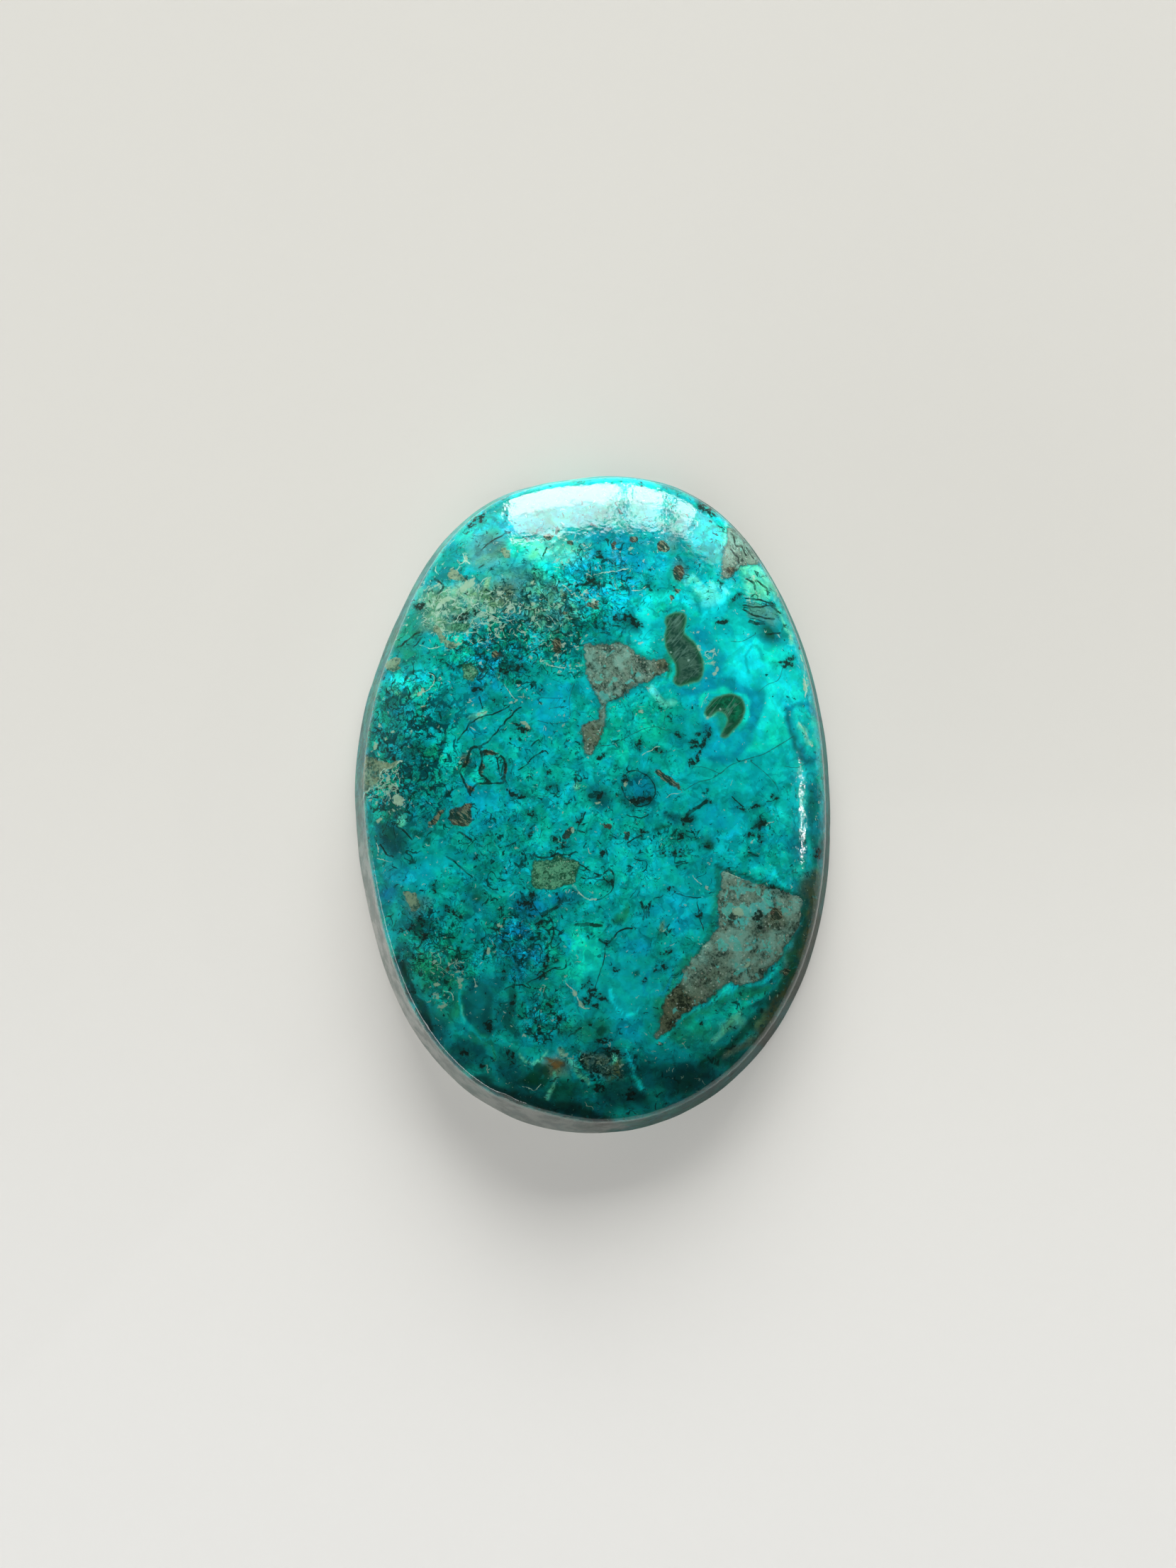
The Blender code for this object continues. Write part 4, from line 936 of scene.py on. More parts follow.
def as_seen(points):
    """Where each point shows on the stone's widest level, in mm right and up, from the view's place."""
    direction = np.array((*CAMERA_TILT, 1.0))
    eye = (0, 0, EDGE_HEIGHT) + direction / np.linalg.norm(direction) * CAMERA_FAR
    share = (eye[2] - GIRDLE_HEIGHT) / (eye[2] - points[:, 2])
    return (eye[:2] + (points[:, :2] - eye[:2]) * share[:, None]) * MM


def eased(values, low, high):
    share = np.clip((values - low) / (high - low), 0, 1)
    return share * share * (3 - 2 * share)


def along_angle(angle):
    return np.array((math.cos(angle), math.sin(angle)))


def ripple(place, size, seed):
    """A smooth cloudy field of about -1 to 1, with features of this size."""
    draw = np.random.RandomState(seed)
    total = np.zeros(len(place))
    for _ in range(RIPPLE_WAVES):
        turn, phase = draw.uniform(0, 2 * math.pi, 2)
        pitch = 2 * math.pi / size * draw.uniform(0.5, 1.2)
        total += np.sin(place @ along_angle(turn) * pitch + phase)
    return total / (RIPPLE_WAVES / 2)


def wandered(place, size, amount, seed):
    """The same places, each moved a little, so that an edge laid on them comes out uneven."""
    return place + amount * np.column_stack([ripple(place, size, seed + axis) for axis in (0, 1)])


def rounded(points, closed=False):
    """A smooth curve through the points, with a few more points between each two of them."""
    points = np.array(points, dtype=float)
    ends = (points[-1:], points[:1]) if closed else (points[:1], points[-1:])
    before = np.vstack((ends[0], points[:-1]))
    after = np.vstack((points[1:], ends[1]))
    slope = (after - before) / 2
    curve = []
    for i in range(len(points) if closed else len(points) - 1):
        j = (i + 1) % len(points)
        for t in CURVE_STEPS:
            rise = t * t * (3 - 2 * t)
            leave, arrive = t * (1 - t) ** 2, t * t * (t - 1)
            straight = points[i] * (1 - rise) + points[j] * rise
            curve.append(straight + slope[i] * leave + slope[j] * arrive)
    if not closed:
        curve.append(points[-1])
    return np.array(curve)


def to_line(place, curve, closed=False):
    """The offset from the nearest point of a line, and its length."""
    ends = np.roll(curve, -1, axis=0) if closed else curve[1:]
    best = np.full((len(place), 2), NOWHERE)
    far = np.full(len(place), NOWHERE)
    for start, end in zip(curve, ends):
        run = end - start
        share = np.clip((place - start) @ run / max(run @ run, 1e-12), 0, 1)
        offset = place - start - share[:, None] * run
        length_off = np.hypot(*offset.T)
        closer = length_off < far
        best[closer], far[closer] = offset[closer], length_off[closer]
    return best, far


def is_inside(place, curve):
    inside = np.zeros(len(place), dtype=bool)
    for start, end in zip(curve, np.roll(curve, -1, axis=0)):
        crosses = (start[1] > place[:, 1]) != (end[1] > place[:, 1])
        rise = end[1] - start[1] if end[1] != start[1] else 1e-12
        meets = start[0] + (place[:, 1] - start[1]) / rise * (end[0] - start[0])
        inside ^= crosses & (place[:, 0] < meets)
    return inside


def near(place, curve):
    low, high = curve.min(axis=0) - FAR_OFF, curve.max(axis=0) + FAR_OFF
    return np.flatnonzero(((place > low) & (place < high)).all(axis=1))


def patch_depth(place, outlines):
    """The distance in mm to the nearest of these outlines, less than 0 inside it."""
    depth = np.full(len(place), FAR_OFF)
    for outline in outlines:
        curve = rounded(outline, closed=True)
        close = near(place, curve)
        _, far = to_line(place[close], curve, closed=True)
        far = np.where(is_inside(place[close], curve), -far, far)
        depth[close] = np.minimum(depth[close], far)
    return depth


def blot_depth(place, blots):
    """The same for oval blots: (middle x, middle y, half length, half width, turn in degrees)."""
    depth = np.full(len(place), FAR_OFF)
    for x, y, long, wide, turn in blots:
        apart = place - (x, y)
        along = along_angle(math.radians(turn))
        across = np.array((-along[1], along[0]))
        ring = np.hypot(apart @ along / long, apart @ across / wide)
        depth = np.minimum(depth, (ring - 1) * min(long, wide))
    return depth


def stroke_offset(place, strokes):
    """For the nearest stroke: the offset from it in half widths, and the distance from it in mm."""
    offset = np.full((len(place), 3), FAR_OFF)
    offset[:, :2] *= 20
    for half_width, *points in strokes:
        curve = rounded(points)
        close = near(place, curve)
        best, far = to_line(place[close], curve)
        nearer = far < offset[close, 2]
        offset[close[nearer], :2] = best[nearer] / half_width
        offset[close[nearer], 2] = far[nearer]
    return offset


def all_in(name, place):
    """The same colour of the palette at every place."""
    return np.tile(PALETTE[name], (len(place), 1)).astype(float)


def laid_over(colour, name, share):
    """Lays a colour of the palette over others, by a share at each point."""
    return colour + (np.array(PALETTE[name]) - colour) * share[:, None]


def soft_spot(place, x, y, half_wide, half_high):
    ring = np.hypot((place[:, 0] - x) / half_wide, (place[:, 1] - y) / half_high)
    return 1 - eased(ring, 0.45, 1.35)


def ground_colour(place):
    """The stone's colour without its fine markings."""
    place = wandered(wandered(place, 3.5, 0.30, 11), 1.1, 0.12, 21)
    colour = all_in("teal", place)
    for name, *spot in WASHES:
        colour = laid_over(colour, name, WASH_STRENGTH * soft_spot(place, *spot))
    for x, y, radius, core, ring in ORBS:
        far = np.hypot(place[:, 0] - x, place[:, 1] - y) / radius
        colour = laid_over(colour, ring, ORB_RING_STRENGTH * (1 - eased(far, 0.9, 1.3)))
        colour = laid_over(colour, core, WASH_STRENGTH * (1 - eased(far, 0.55, 0.95)))
    for name, soft, *outline in FLAT_PATCHES:
        inside = 1 - eased(patch_depth(place, [outline]), -soft, soft)
        colour = laid_over(colour, name, PATCH_STRENGTH * inside)
    for name, half_width, *points in BRUSHED:
        _, far = to_line(place, rounded(points))
        colour = laid_over(colour, name, WASH_STRENGTH * (1 - eased(far / half_width, 0.4, 1.3)))
    richer = RICHER_BELOW * eased(-place[:, 1], 2, 9)
    richer += RICHER_ABOVE * soft_spot(place, *UPPER_END)
    return colour * (1 + richer[:, None])


def back_colour(place):
    """The back's own clouds: the same minerals, in another pattern."""
    place = wandered(wandered(place, 6.0, 1.6, 95), 1.8, 0.5, 97)
    colour = all_in("teal", place)
    for name, size, seed in BACK_CLOUDS:
        colour = laid_over(colour, name, eased(ripple(place, size, seed), 0.15, 0.8))
    return colour


def back_host(place, back):
    """Host rock across the back, out of a broad cloud."""
    cloud = ripple(wandered(place, 4.0, 0.8, 71), 13.0, 73) + 0.25 * ripple(place, 2.6, 75)
    return np.clip((0.55 - cloud) * 2.5, -1.5, FAR_OFF) + (1 - back) * 2 * FAR_OFF


def spread(place, level, spots):
    """How dense a fine marking is over the stone: a level all over, and spots of other levels."""
    place = wandered(place, 3.0, 0.5, 31)
    density = np.full(len(place), level)
    for amount, *spot in spots:
        density += (amount - density) * soft_spot(place, *spot)
    return density


def keep(mesh, name, values, kind="FLOAT"):
    """Stores one value for each point of the mesh, for the material to read."""
    layer = mesh.attributes.new(name, kind, "POINT")
    field = {"FLOAT": "value", "FLOAT_VECTOR": "vector", "FLOAT_COLOR": "color"}[kind]
    layer.data.foreach_set(field, np.ascontiguousarray(values, dtype=np.float32).ravel())


def keep_patches(mesh, place, back):
    """Stores how far each point lies from patches and blots. The back has only its own host rock."""
    away = back * FAR_OFF
    uneven = wandered(place, 0.8, 0.07, 41)
    host = patch_depth(uneven, HOST_PATCHES) + away
    keep(mesh, "host", np.minimum(host, back_host(place, back)))
    depths = {
        "eye": patch_depth(wandered(place, 0.8, 0.03, 45), EYES),
        "granular": patch_depth(uneven, GRANULAR_PATCHES),
        "tan": patch_depth(uneven, TAN_PATCHES),
        "blot": np.minimum(blot_depth(uneven, DARK_BLOTS), patch_depth(uneven, DARK_SHAPES)),
        "brown_blot": np.minimum(blot_depth(uneven, BROWN_BLOTS), patch_depth(uneven, BROWN_SHAPES)),
        "pale_blot": blot_depth(uneven, PALE_BLOTS),
    }
    for name, depth in depths.items():
        keep(mesh, name, depth + away)


def lay_markings(mesh, points, down, back):
    """Stores the markings at the mesh's points, for the material to read."""
    place = as_seen(points)
    colour = ground_colour(place)
    colour += (back_colour(place) - colour) * back[:, None]
    keep(mesh, "ground", np.column_stack((colour, np.ones(len(points)))), "FLOAT_COLOR")
    keep_patches(mesh, place, back)
    bent = wandered(place, 0.7, 0.05, 51)
    for name, strokes, on in (("vein", VEINS, bent), ("crack", CRACKS, place), ("thread", THREADS, bent)):
        keep(mesh, name, stroke_offset(on, strokes) + back[:, None] * FAR_OFF, "FLOAT_VECTOR")
    for name, (level, *spots) in DENSITIES.items():
        keep(mesh, name, spread(place, level, spots))
    keep(mesh, "down", down)
    keep(mesh, "back", back)


# ---------------------------------------------------------------- materials: the tools

SOCKETS = {
    "Place": "NodeSocketVector",
    "Offset": "NodeSocketVector",
    "Color": "NodeSocketColor",
    "Dark": "NodeSocketColor",
    "Light": "NodeSocketColor",
}


class Flow:
    """A number, place or colour on its way through a tree of nodes. Arithmetic on it adds nodes."""

    def __init__(self, socket):
        self.socket = socket
        self.tree = socket.id_data

    def __add__(self, other):
        return maths("ADD", self, other)

    def __sub__(self, other):
        return maths("SUBTRACT", self, other)

    def __rsub__(self, other):
        return maths("SUBTRACT", other, self)

    def __mul__(self, other):
        return maths("MULTIPLY", self, other)

    def __truediv__(self, other):
        return maths("DIVIDE", self, other)

    def __rtruediv__(self, other):
        return maths("DIVIDE", other, self)

    def __abs__(self):
        return maths("ABSOLUTE", self)

    __radd__ = __add__


def feed(socket, value):
    """Links a flow to a socket, or sets the socket's own value."""
    if isinstance(value, Flow):
        value.tree.links.new(value.socket, socket)
    elif socket.type == "RGBA" and len(value) == 3:
        socket.default_value = (*value, 1)
    else:
        socket.default_value = value


def put(tree, kind, settings=None, **inputs):
    """Adds a node, with its settings, and feeds its inputs by name."""
    node = tree.nodes.new("ShaderNode" + kind)
    for name, value in (settings or {}).items():
        setattr(node, name, value)
    for name, value in inputs.items():
        feed(node.inputs[name.replace("_", " ")], value)
    return node


def tree_of(values):
    return next(value.tree for value in values if isinstance(value, Flow))


def is_triple(value):
    return isinstance(value, tuple) or (isinstance(value, Flow) and value.socket.type != "VALUE")


def maths(operation, *values):
    """Works on numbers, or on places and colours part by part."""
    triples = sum(is_triple(value) for value in values)
    if triples == 1 and operation == "MULTIPLY":
        triple, amount = sorted(values, key=is_triple, reverse=True)
        node = put(tree_of(values), "VectorMath", {"operation": "SCALE"}, Scale=amount)
        feed(node.inputs[0], triple)
        return Flow(node.outputs["Vector"])
    node = put(tree_of(values), "VectorMath" if triples else "Math", {"operation": operation})
    for socket, value in zip(node.inputs, values):
        feed(socket, value)
    return Flow(node.outputs[0])


def length(place):
    node = put(place.tree, "VectorMath", {"operation": "LENGTH"})
    feed(node.inputs[0], place)
    return Flow(node.outputs["Value"])


def part(value, name):
    """One part of a place (X, Y or Z) or of a colour (Red, Green or Blue)."""
    if value.socket.type == "RGBA":
        return Flow(put(value.tree, "SeparateColor", Color=value).outputs[name])
    return Flow(put(value.tree, "SeparateXYZ", Vector=value).outputs[name])


def turned(place, angle):
    node = put(place.tree, "VectorRotate", {"rotation_type": "Z_AXIS"}, Vector=place, Angle=angle)
    return Flow(node.outputs["Vector"])


def mixed(share, first, second, blend="MIX"):
    """The first colour where share is 0, and the second where it is 1."""
    node = put(tree_of((share, first, second)), "Mix", {"data_type": "RGBA", "blend_type": blend})
    for index, value in ((0, share), (6, first), (7, second)):
        feed(node.inputs[index], value)
    return Flow(node.outputs[2])


def between(share, first, second):
    """The same for numbers."""
    node = put(share.tree, "Mix", {"data_type": "FLOAT"}, Factor=share)
    feed(node.inputs[2], first)
    feed(node.inputs[3], second)
    return Flow(node.outputs[0])


def tinted(colour, tint):
    return mixed(1.0, colour, tint, "MULTIPLY")


def toned(colour, tone):
    """Multiplies a colour by a plain number."""
    grey = put(tone.tree, "CombineColor", Red=tone, Green=tone, Blue=tone).outputs[0]
    return tinted(colour, Flow(grey))


def ranged(value, low, high, to_low=0.0, to_high=1.0, ease="SMOOTHSTEP"):
    """Eases a value from one range to another, and holds it there outside."""
    ends = {"From_Min": low, "From_Max": high, "To_Min": to_low, "To_Max": to_high}
    node = put(value.tree, "MapRange", {"interpolation_type": ease}, Value=value, **ends)
    return Flow(node.outputs["Result"])


def noise(place, scale, output="Fac", **settings):
    """A cloud of about 0 to 1. settings are its detail, roughness and distortion."""
    usual = {"Detail": 2.0, "Roughness": 0.5, "Distortion": 0.0}
    chosen = usual | {name.title(): value for name, value in settings.items()}
    return Flow(put(place.tree, "TexNoise", Vector=place, Scale=scale, **chosen).outputs[output])


def stored(tree, name, output="Fac"):
    """What lay_markings left at the mesh's points under this name."""
    return Flow(put(tree, "Attribute", {"attribute_name": name}).outputs[output])


def new_group(name, outputs=("Mask",), **inputs):
    """A node group that draws on a Place. inputs holds the usual values of its other inputs."""
    group = bpy.data.node_groups.new(name, "ShaderNodeTree")
    for label, usual in {"Place": None, **inputs}.items():
        kind = SOCKETS.get(label, "NodeSocketFloat")
        socket = group.interface.new_socket(label, in_out="INPUT", socket_type=kind)
        if usual is not None:
            socket.default_value = usual
    for label in outputs:
        kind = SOCKETS.get(label, "NodeSocketFloat")
        group.interface.new_socket(label, in_out="OUTPUT", socket_type=kind)
    given = group.nodes.new("NodeGroupInput").outputs
    result = group.nodes.new("NodeGroupOutput").inputs
    return group, {socket.name: Flow(socket) for socket in given if socket.name}, result


def seeded(given):
    """The scale for a group's Size, and its Place moved by its Seed to another part of the pattern."""
    return 1 / given["Size"], given["Place"] + given["Seed"]


def use(group, **inputs):
    """Places a group in the tree that its Place comes from."""
    node = put(inputs["Place"].tree, "Group", {"node_tree": group}, **inputs)
    return {socket.name: Flow(socket) for socket in node.outputs}


# ---------------------------------------------------------------- materials: the patterns


def make_drift():
    """Moves places about, so that what is drawn at them wanders."""
    group, given, result = new_group("drift", ("Place",), Size=1.0, Amount=0.3)
    cloud = noise(given["Place"], 1 / given["Size"], "Color")
    shift = cloud - (0.5, 0.5, 0.5)
    feed(result["Place"], given["Place"] + shift * given["Amount"])
    return group


def make_squiggles():
    """Short crooked lines, like the dark veinlets in the stone."""
    group, given, result = new_group("squiggles", Size=0.6, Width=0.03, Share=0.5, Seed=0.0)
    scale, place = seeded(given)
    off_line = abs(noise(place, scale, detail=1.5, distortion=0.5) - 0.5)
    line = ranged(off_line, given["Width"], given["Width"] * 0.35)
    islands = noise(place + (31.0, 17.0, 9.0), scale * 0.8, detail=1.5)
    kept = ranged(islands - (given["Share"] * -0.45 + 0.72), 0.0, 0.05)
    feed(result["Mask"], line * kept)
    return group


def make_specks():
    """Small uneven spots, in a share of evenly crowded cells."""
    group, given, result = new_group("specks", Size=0.4, Radius=0.25, Share=0.3, Seed=0.0)
    scale, place = seeded(given)
    cells = put(group, "TexVoronoi", Vector=place, Scale=scale).outputs
    chosen = maths("LESS_THAN", part(Flow(cells["Color"]), "Red"), given["Share"])
    rough = noise(place, scale * 2.2) - 0.5
    far = rough * 0.7 + Flow(cells["Distance"])
    feed(result["Mask"], ranged(far, given["Radius"], given["Radius"] * 0.6) * chosen)
    return group


def make_flakes():
    """Flat flakes in four steps of tone, from 0 to 1, with crumbled outlines."""
    group, given, result = new_group("flakes", ("Tone",), Size=0.8, Seed=0.0)
    scale, place = seeded(given)
    cloud = noise(place, scale, detail=3.5, roughness=0.55, distortion=0.4)
    steps = ((0.41, 0.44), (0.475, 0.495), (0.53, 0.55), (0.585, 0.61))
    feed(result["Tone"], sum(ranged(cloud, *step, 0.0, 1 / len(steps)) for step in steps))
    return group


def make_lumps():
    """Rounded lumps, each of its own tone and hue from 0 to 1."""
    group, given, result = new_group("lumps", ("Tone", "Hue"), Size=1.2, Seed=0.0)
    scale, place = seeded(given)
    rounded_off = {"feature": "SMOOTH_F1"}
    cells = put(group, "TexVoronoi", rounded_off, Vector=place, Scale=scale, Smoothness=0.2)
    draw = Flow(cells.outputs["Color"])
    feed(result["Tone"], part(draw, "Red"))
    feed(result["Hue"], part(draw, "Green"))
    return group


def make_ridges():
    """A ragged net of lines that swell and thin, for the seams between lumps of mineral."""
    group, given, result = new_group("ridges", Size=0.8, Width=0.04, Seed=0.0)
    scale, place = seeded(given)
    off_line = abs(noise(place, scale, detail=3, roughness=0.55, distortion=0.3) - 0.5)
    swelling = noise(place + (9.0, 41.0, 27.0), scale * 1.3, detail=1.5)
    width = given["Width"] * ranged(swelling, 0.35, 0.65, 0.05, 1.6)
    feed(result["Mask"], ranged(off_line, width + 0.008, width * 0.5))
    return group


def make_blots():
    """Uneven spots with crumbled edges. Share runs from 0, hardly any, to 1, half the surface."""
    group, given, result = new_group("blots", Size=0.5, Share=0.3, Seed=0.0)
    scale, place = seeded(given)
    cloud = noise(place, scale, detail=3.5, roughness=0.6, distortion=0.6)
    feed(result["Mask"], ranged(cloud - (given["Share"] * -0.20 + 0.68), 0.0, 0.05))
    return group


def make_drawn_line():
    """A line from a stored offset, which is in half widths; its third value is the distance in mm."""
    inputs = {"Offset": None, "Raggedness": 0.8, "Width": 1.0, "Least": 0.4}
    group, given, result = new_group("drawn line", **inputs)
    flat = given["Offset"] * (1.0, 1.0, 0.0)
    shift = (noise(given["Place"], 5.0, "Color") - (0.5, 0.5, 0.5)) * given["Raggedness"]
    line = ranged(length(flat + shift) / given["Width"], 1.25, 0.75)
    close = ranged(part(given["Offset"], "Z"), 0.6, 0.35)
    breaks = noise(given["Place"], 1.7)
    kept = ranged(breaks, 0.40, 0.54, given["Least"], ease="LINEAR")
    feed(result["Mask"], line * close * kept)
    return group


def make_drawn_patch():
    """A patch from a stored distance, with a crumbled edge, the rim outside it and its outline."""
    inputs = {"Depth": 1.0, "Crumble": 0.15, "Edge": 0.04, "Rim": 0.25}
    group, given, result = new_group("drawn patch", ("Mask", "Rim", "Line"), **inputs)
    crumbs = noise(given["Place"], 3.5, detail=3, roughness=0.6) - 0.5
    depth = crumbs * given["Crumble"] + given["Depth"]
    feed(result["Mask"], ranged(depth, given["Edge"], given["Edge"] * -1.0))
    feed(result["Rim"], ranged(depth, given["Rim"], 0.0))
    feed(result["Line"], ranged(abs(depth), given["Edge"] * 2.0, given["Edge"]))
    return group


def make_host_rock(specks):
    """Grainy grey-brown rock with pale grains and dark holes."""
    inputs = {"Dark": (0.05, 0.055, 0.035, 1), "Light": (0.2, 0.26, 0.18, 1)}
    group, given, result = new_group("host rock", ("Color", "Height"), **inputs)
    place = given["Place"]
    broad = noise(place, 0.9, detail=4, roughness=0.6)
    fine = noise(place, 5.0, detail=3, roughness=0.7)
    tone = broad * 0.5 + fine * 0.5
    colour = mixed(ranged(tone, 0.40, 0.58), given["Dark"], given["Light"])
    pale = use(specks, Place=place, Size=0.22, Radius=0.32, Share=0.22)["Mask"]
    colour = mixed(pale * 0.55, colour, (0.42, 0.47, 0.36))
    dark = use(specks, Place=place, Size=0.30, Radius=0.30, Share=0.2, Seed=5.0)["Mask"]
    feed(result["Color"], mixed(dark * 0.6, colour, (0.02, 0.022, 0.014)))
    feed(result["Height"], fine - dark)
    return group


def make_patterns():
    patterns = {
        "drift": make_drift(),
        "squiggles": make_squiggles(),
        "specks": make_specks(),
        "flakes": make_flakes(),
        "ridges": make_ridges(),
        "lumps": make_lumps(),
        "blots": make_blots(),
        "line": make_drawn_line(),
        "patch": make_drawn_patch(),
    }
    patterns["rock"] = make_host_rock(patterns["specks"])
    return patterns


# ---------------------------------------------------------------- materials: the stone

GREEN_WINDOW = (8.9, 5.8, 6.5)  # mm: the middle of the greener of the two windows

# Roughness: that of the bare polish, and what the ground wall and back, the host rock and the busy
# mottle add to it.
POLISH = 0.07
GROUND_DULLNESS = 0.5
HOST_DULLNESS = 0.12
NET_DULLNESS = 0.30

# Depths in mm of what only shows in the gloss.
PIT_DEPTH = 0.016
WAVE_DEPTH = 0.04
GRAIN_DEPTH = 0.012


def printed(colour, place, patterns, marks):
    """Prints patterns over a colour in turn. marks are (pattern, ink, strength, settings)."""
    for name, ink, strength, settings in marks:
        mask = use(patterns[name], Place=place, **settings)["Mask"]
        colour = mixed(mask * strength, colour, ink)
    return colour


def mottled_ground(tree, patterns, place, bent):
    """The copper minerals: the stored ground colour in flakes, seams, veinlets and flecks."""
    net, seam, fleck = (stored(tree, name) for name in ("net", "seam", "fleck"))
    cloud = noise(place, 1.3, detail=4, roughness=0.6)
    flake = use(patterns["flakes"], Place=bent, Size=0.8)["Tone"]
    chip = use(patterns["flakes"], Place=bent, Size=0.36, Seed=9.0)["Tone"]
    uneven = flake * 0.55 + chip * 0.45
    busy = net + 0.04
    tone = between(busy, ranged(cloud, 0.35, 0.65, 0.98, 1.32), uneven * 0.95 + 0.66)
    colour = toned(stored(tree, "ground", "Color"), tone)
    colour = with_lumps(patterns, place, bent, colour, busy)
    tint = mixed(uneven, (1.1, 1.10, 0.74), (0.9, 0.97, 1.08))
    colour = mixed(busy, colour, tinted(colour, tint))
    seams = {"Size": 1.5, "Width": 0.035}
    fine_seams = {"Size": 0.55, "Width": 0.035, "Seed": 4.0}
    bright_blots = {"Size": 0.5, "Share": 0.4, "Seed": 6.0}
    grit = {"Size": 0.40, "Share": net * 0.75, "Seed": 3.0}
    tight_veinlets = {"Size": 0.36, "Width": 0.05, "Share": net * 1.2, "Seed": 19.0}
    long_veinlets = {"Size": 0.9, "Width": 0.035, "Share": net * 0.9, "Seed": 13.0}
    pale_crumbs = {"Size": 0.30, "Share": fleck, "Seed": 8.0}
    pale_hairs = {"Size": 0.6, "Width": 0.03, "Share": fleck, "Seed": 23.0}
    marks = (
        ("ridges", (0.001, 0.060, 0.068), seam, seams),
        ("ridges", (0.001, 0.075, 0.075), net * 0.8, fine_seams),
        ("blots", (0.006, 0.56, 0.56), net * 0.55, bright_blots),
        ("blots", (0.002, 0.028, 0.024), 0.9, grit),
        ("squiggles", (0.002, 0.060, 0.055), 0.7, tight_veinlets),
        ("squiggles", (0.003, 0.028, 0.020), 0.85, long_veinlets),
        ("blots", (0.26, 0.50, 0.37), 0.75, pale_crumbs),
        ("squiggles", (0.38, 0.58, 0.44), 0.65, pale_hairs),
    )
    return printed(colour, bent, patterns, marks)


def with_lumps(patterns, place, bent, colour, busy):
    """Breaks the ground into greener and bluer, lighter and darker lumps."""
    crooked = use(patterns["drift"], Place=bent, Size=1.3, Amount=1.5)["Place"]
    large = use(patterns["lumps"], Place=crooked, Size=1.7)
    small = use(patterns["lumps"], Place=crooked, Size=0.75, Seed=14.0)
    tone = ranged(large["Tone"] * 0.5 + small["Tone"] * 0.5, 0.25, 0.75, -0.5, 0.5)
    colour = toned(colour, tone * (busy * 0.6 + 0.35) * 0.75 + 1.06)
    cloud = noise(place + (20.0, 0.0, 0.0), 1.1, detail=4, roughness=0.6)
    hue = large["Hue"] * 0.3 + small["Hue"] * 0.2 + ranged(cloud, 0.35, 0.65, 0.0, 0.5)
    hue = ranged(hue, 0.2, 0.8, -0.5, 0.5) * (busy * 0.75 + 0.25) + 0.5
    return tinted(colour, mixed(hue, (1.1, 1.06, 0.74), (0.5, 0.94, 1.20)))


def host_colour(tree, patterns, place, bent, ground):
    """The host rock with its brown ends, its copper stains, pale clouds and bright grains."""
    tones = {"Dark": (0.018, 0.046, 0.034, 1), "Light": (0.150, 0.27, 0.20, 1)}
    rock = use(patterns["rock"], Place=place, **tones)
    umber = stored(tree, "umber") * 0.85
    cloud = ranged(noise(place, 0.75, detail=5, roughness=0.7), 0.46, 0.60)
    colour = mixed(cloud * (0.8 - umber), rock["Color"], (0.19, 0.43, 0.345))
    colour = mixed(umber, colour, tinted(colour, (0.62, 0.42, 0.28)))
    stain = {"Size": 0.7, "Share": stored(tree, "stain"), "Seed": 17.0}
    stained = mixed(0.5, ground, (0.16, 0.54, 0.42))
    colour = printed(colour, bent, patterns, (("blots", stained, 0.8, stain),))
    grains = {"Size": 0.20, "Radius": 0.34, "Share": 0.20, "Seed": 61.0}
    colour = printed(colour, place, patterns, (("specks", (0.42, 0.56, 0.46), 0.55, grains),))
    colour = mixed(hair_scratches(place, 0.9, 37.0) * 0.13, colour, (0.42, 0.52, 0.44))
    return colour, rock["Height"]


def hair_scratches(place, turn, seed):
    """Straight hair scratches that all run one way, in loose bunches."""
    stretched = turned(place, turn) * (0.45, 3.2, 1.0) + (seed, 0.0, 0.0)
    off_line = abs(noise(stretched, 1.0, detail=1) - 0.5)
    bunches = noise(stretched * 0.9, 1.0, detail=1)
    return ranged(off_line, 0.055, 0.015) * ranged(bunches, 0.46, 0.54)


def grained_brown(place):
    """Black green and brown rock with pale streaks in it."""
    stretched = turned(place, 0.7) * (2.2, 7.5, 2.2)
    streaks = noise(stretched, 1.0, detail=3, roughness=0.65, distortion=0.6)
    spots = ranged(noise(place, 1.6), 0.46, 0.64)
    dark = mixed(spots, (0.010, 0.028, 0.017), (0.052, 0.038, 0.022))
    return mixed(ranged(streaks, 0.50, 0.60) * 0.85, dark, (0.19, 0.22, 0.13))


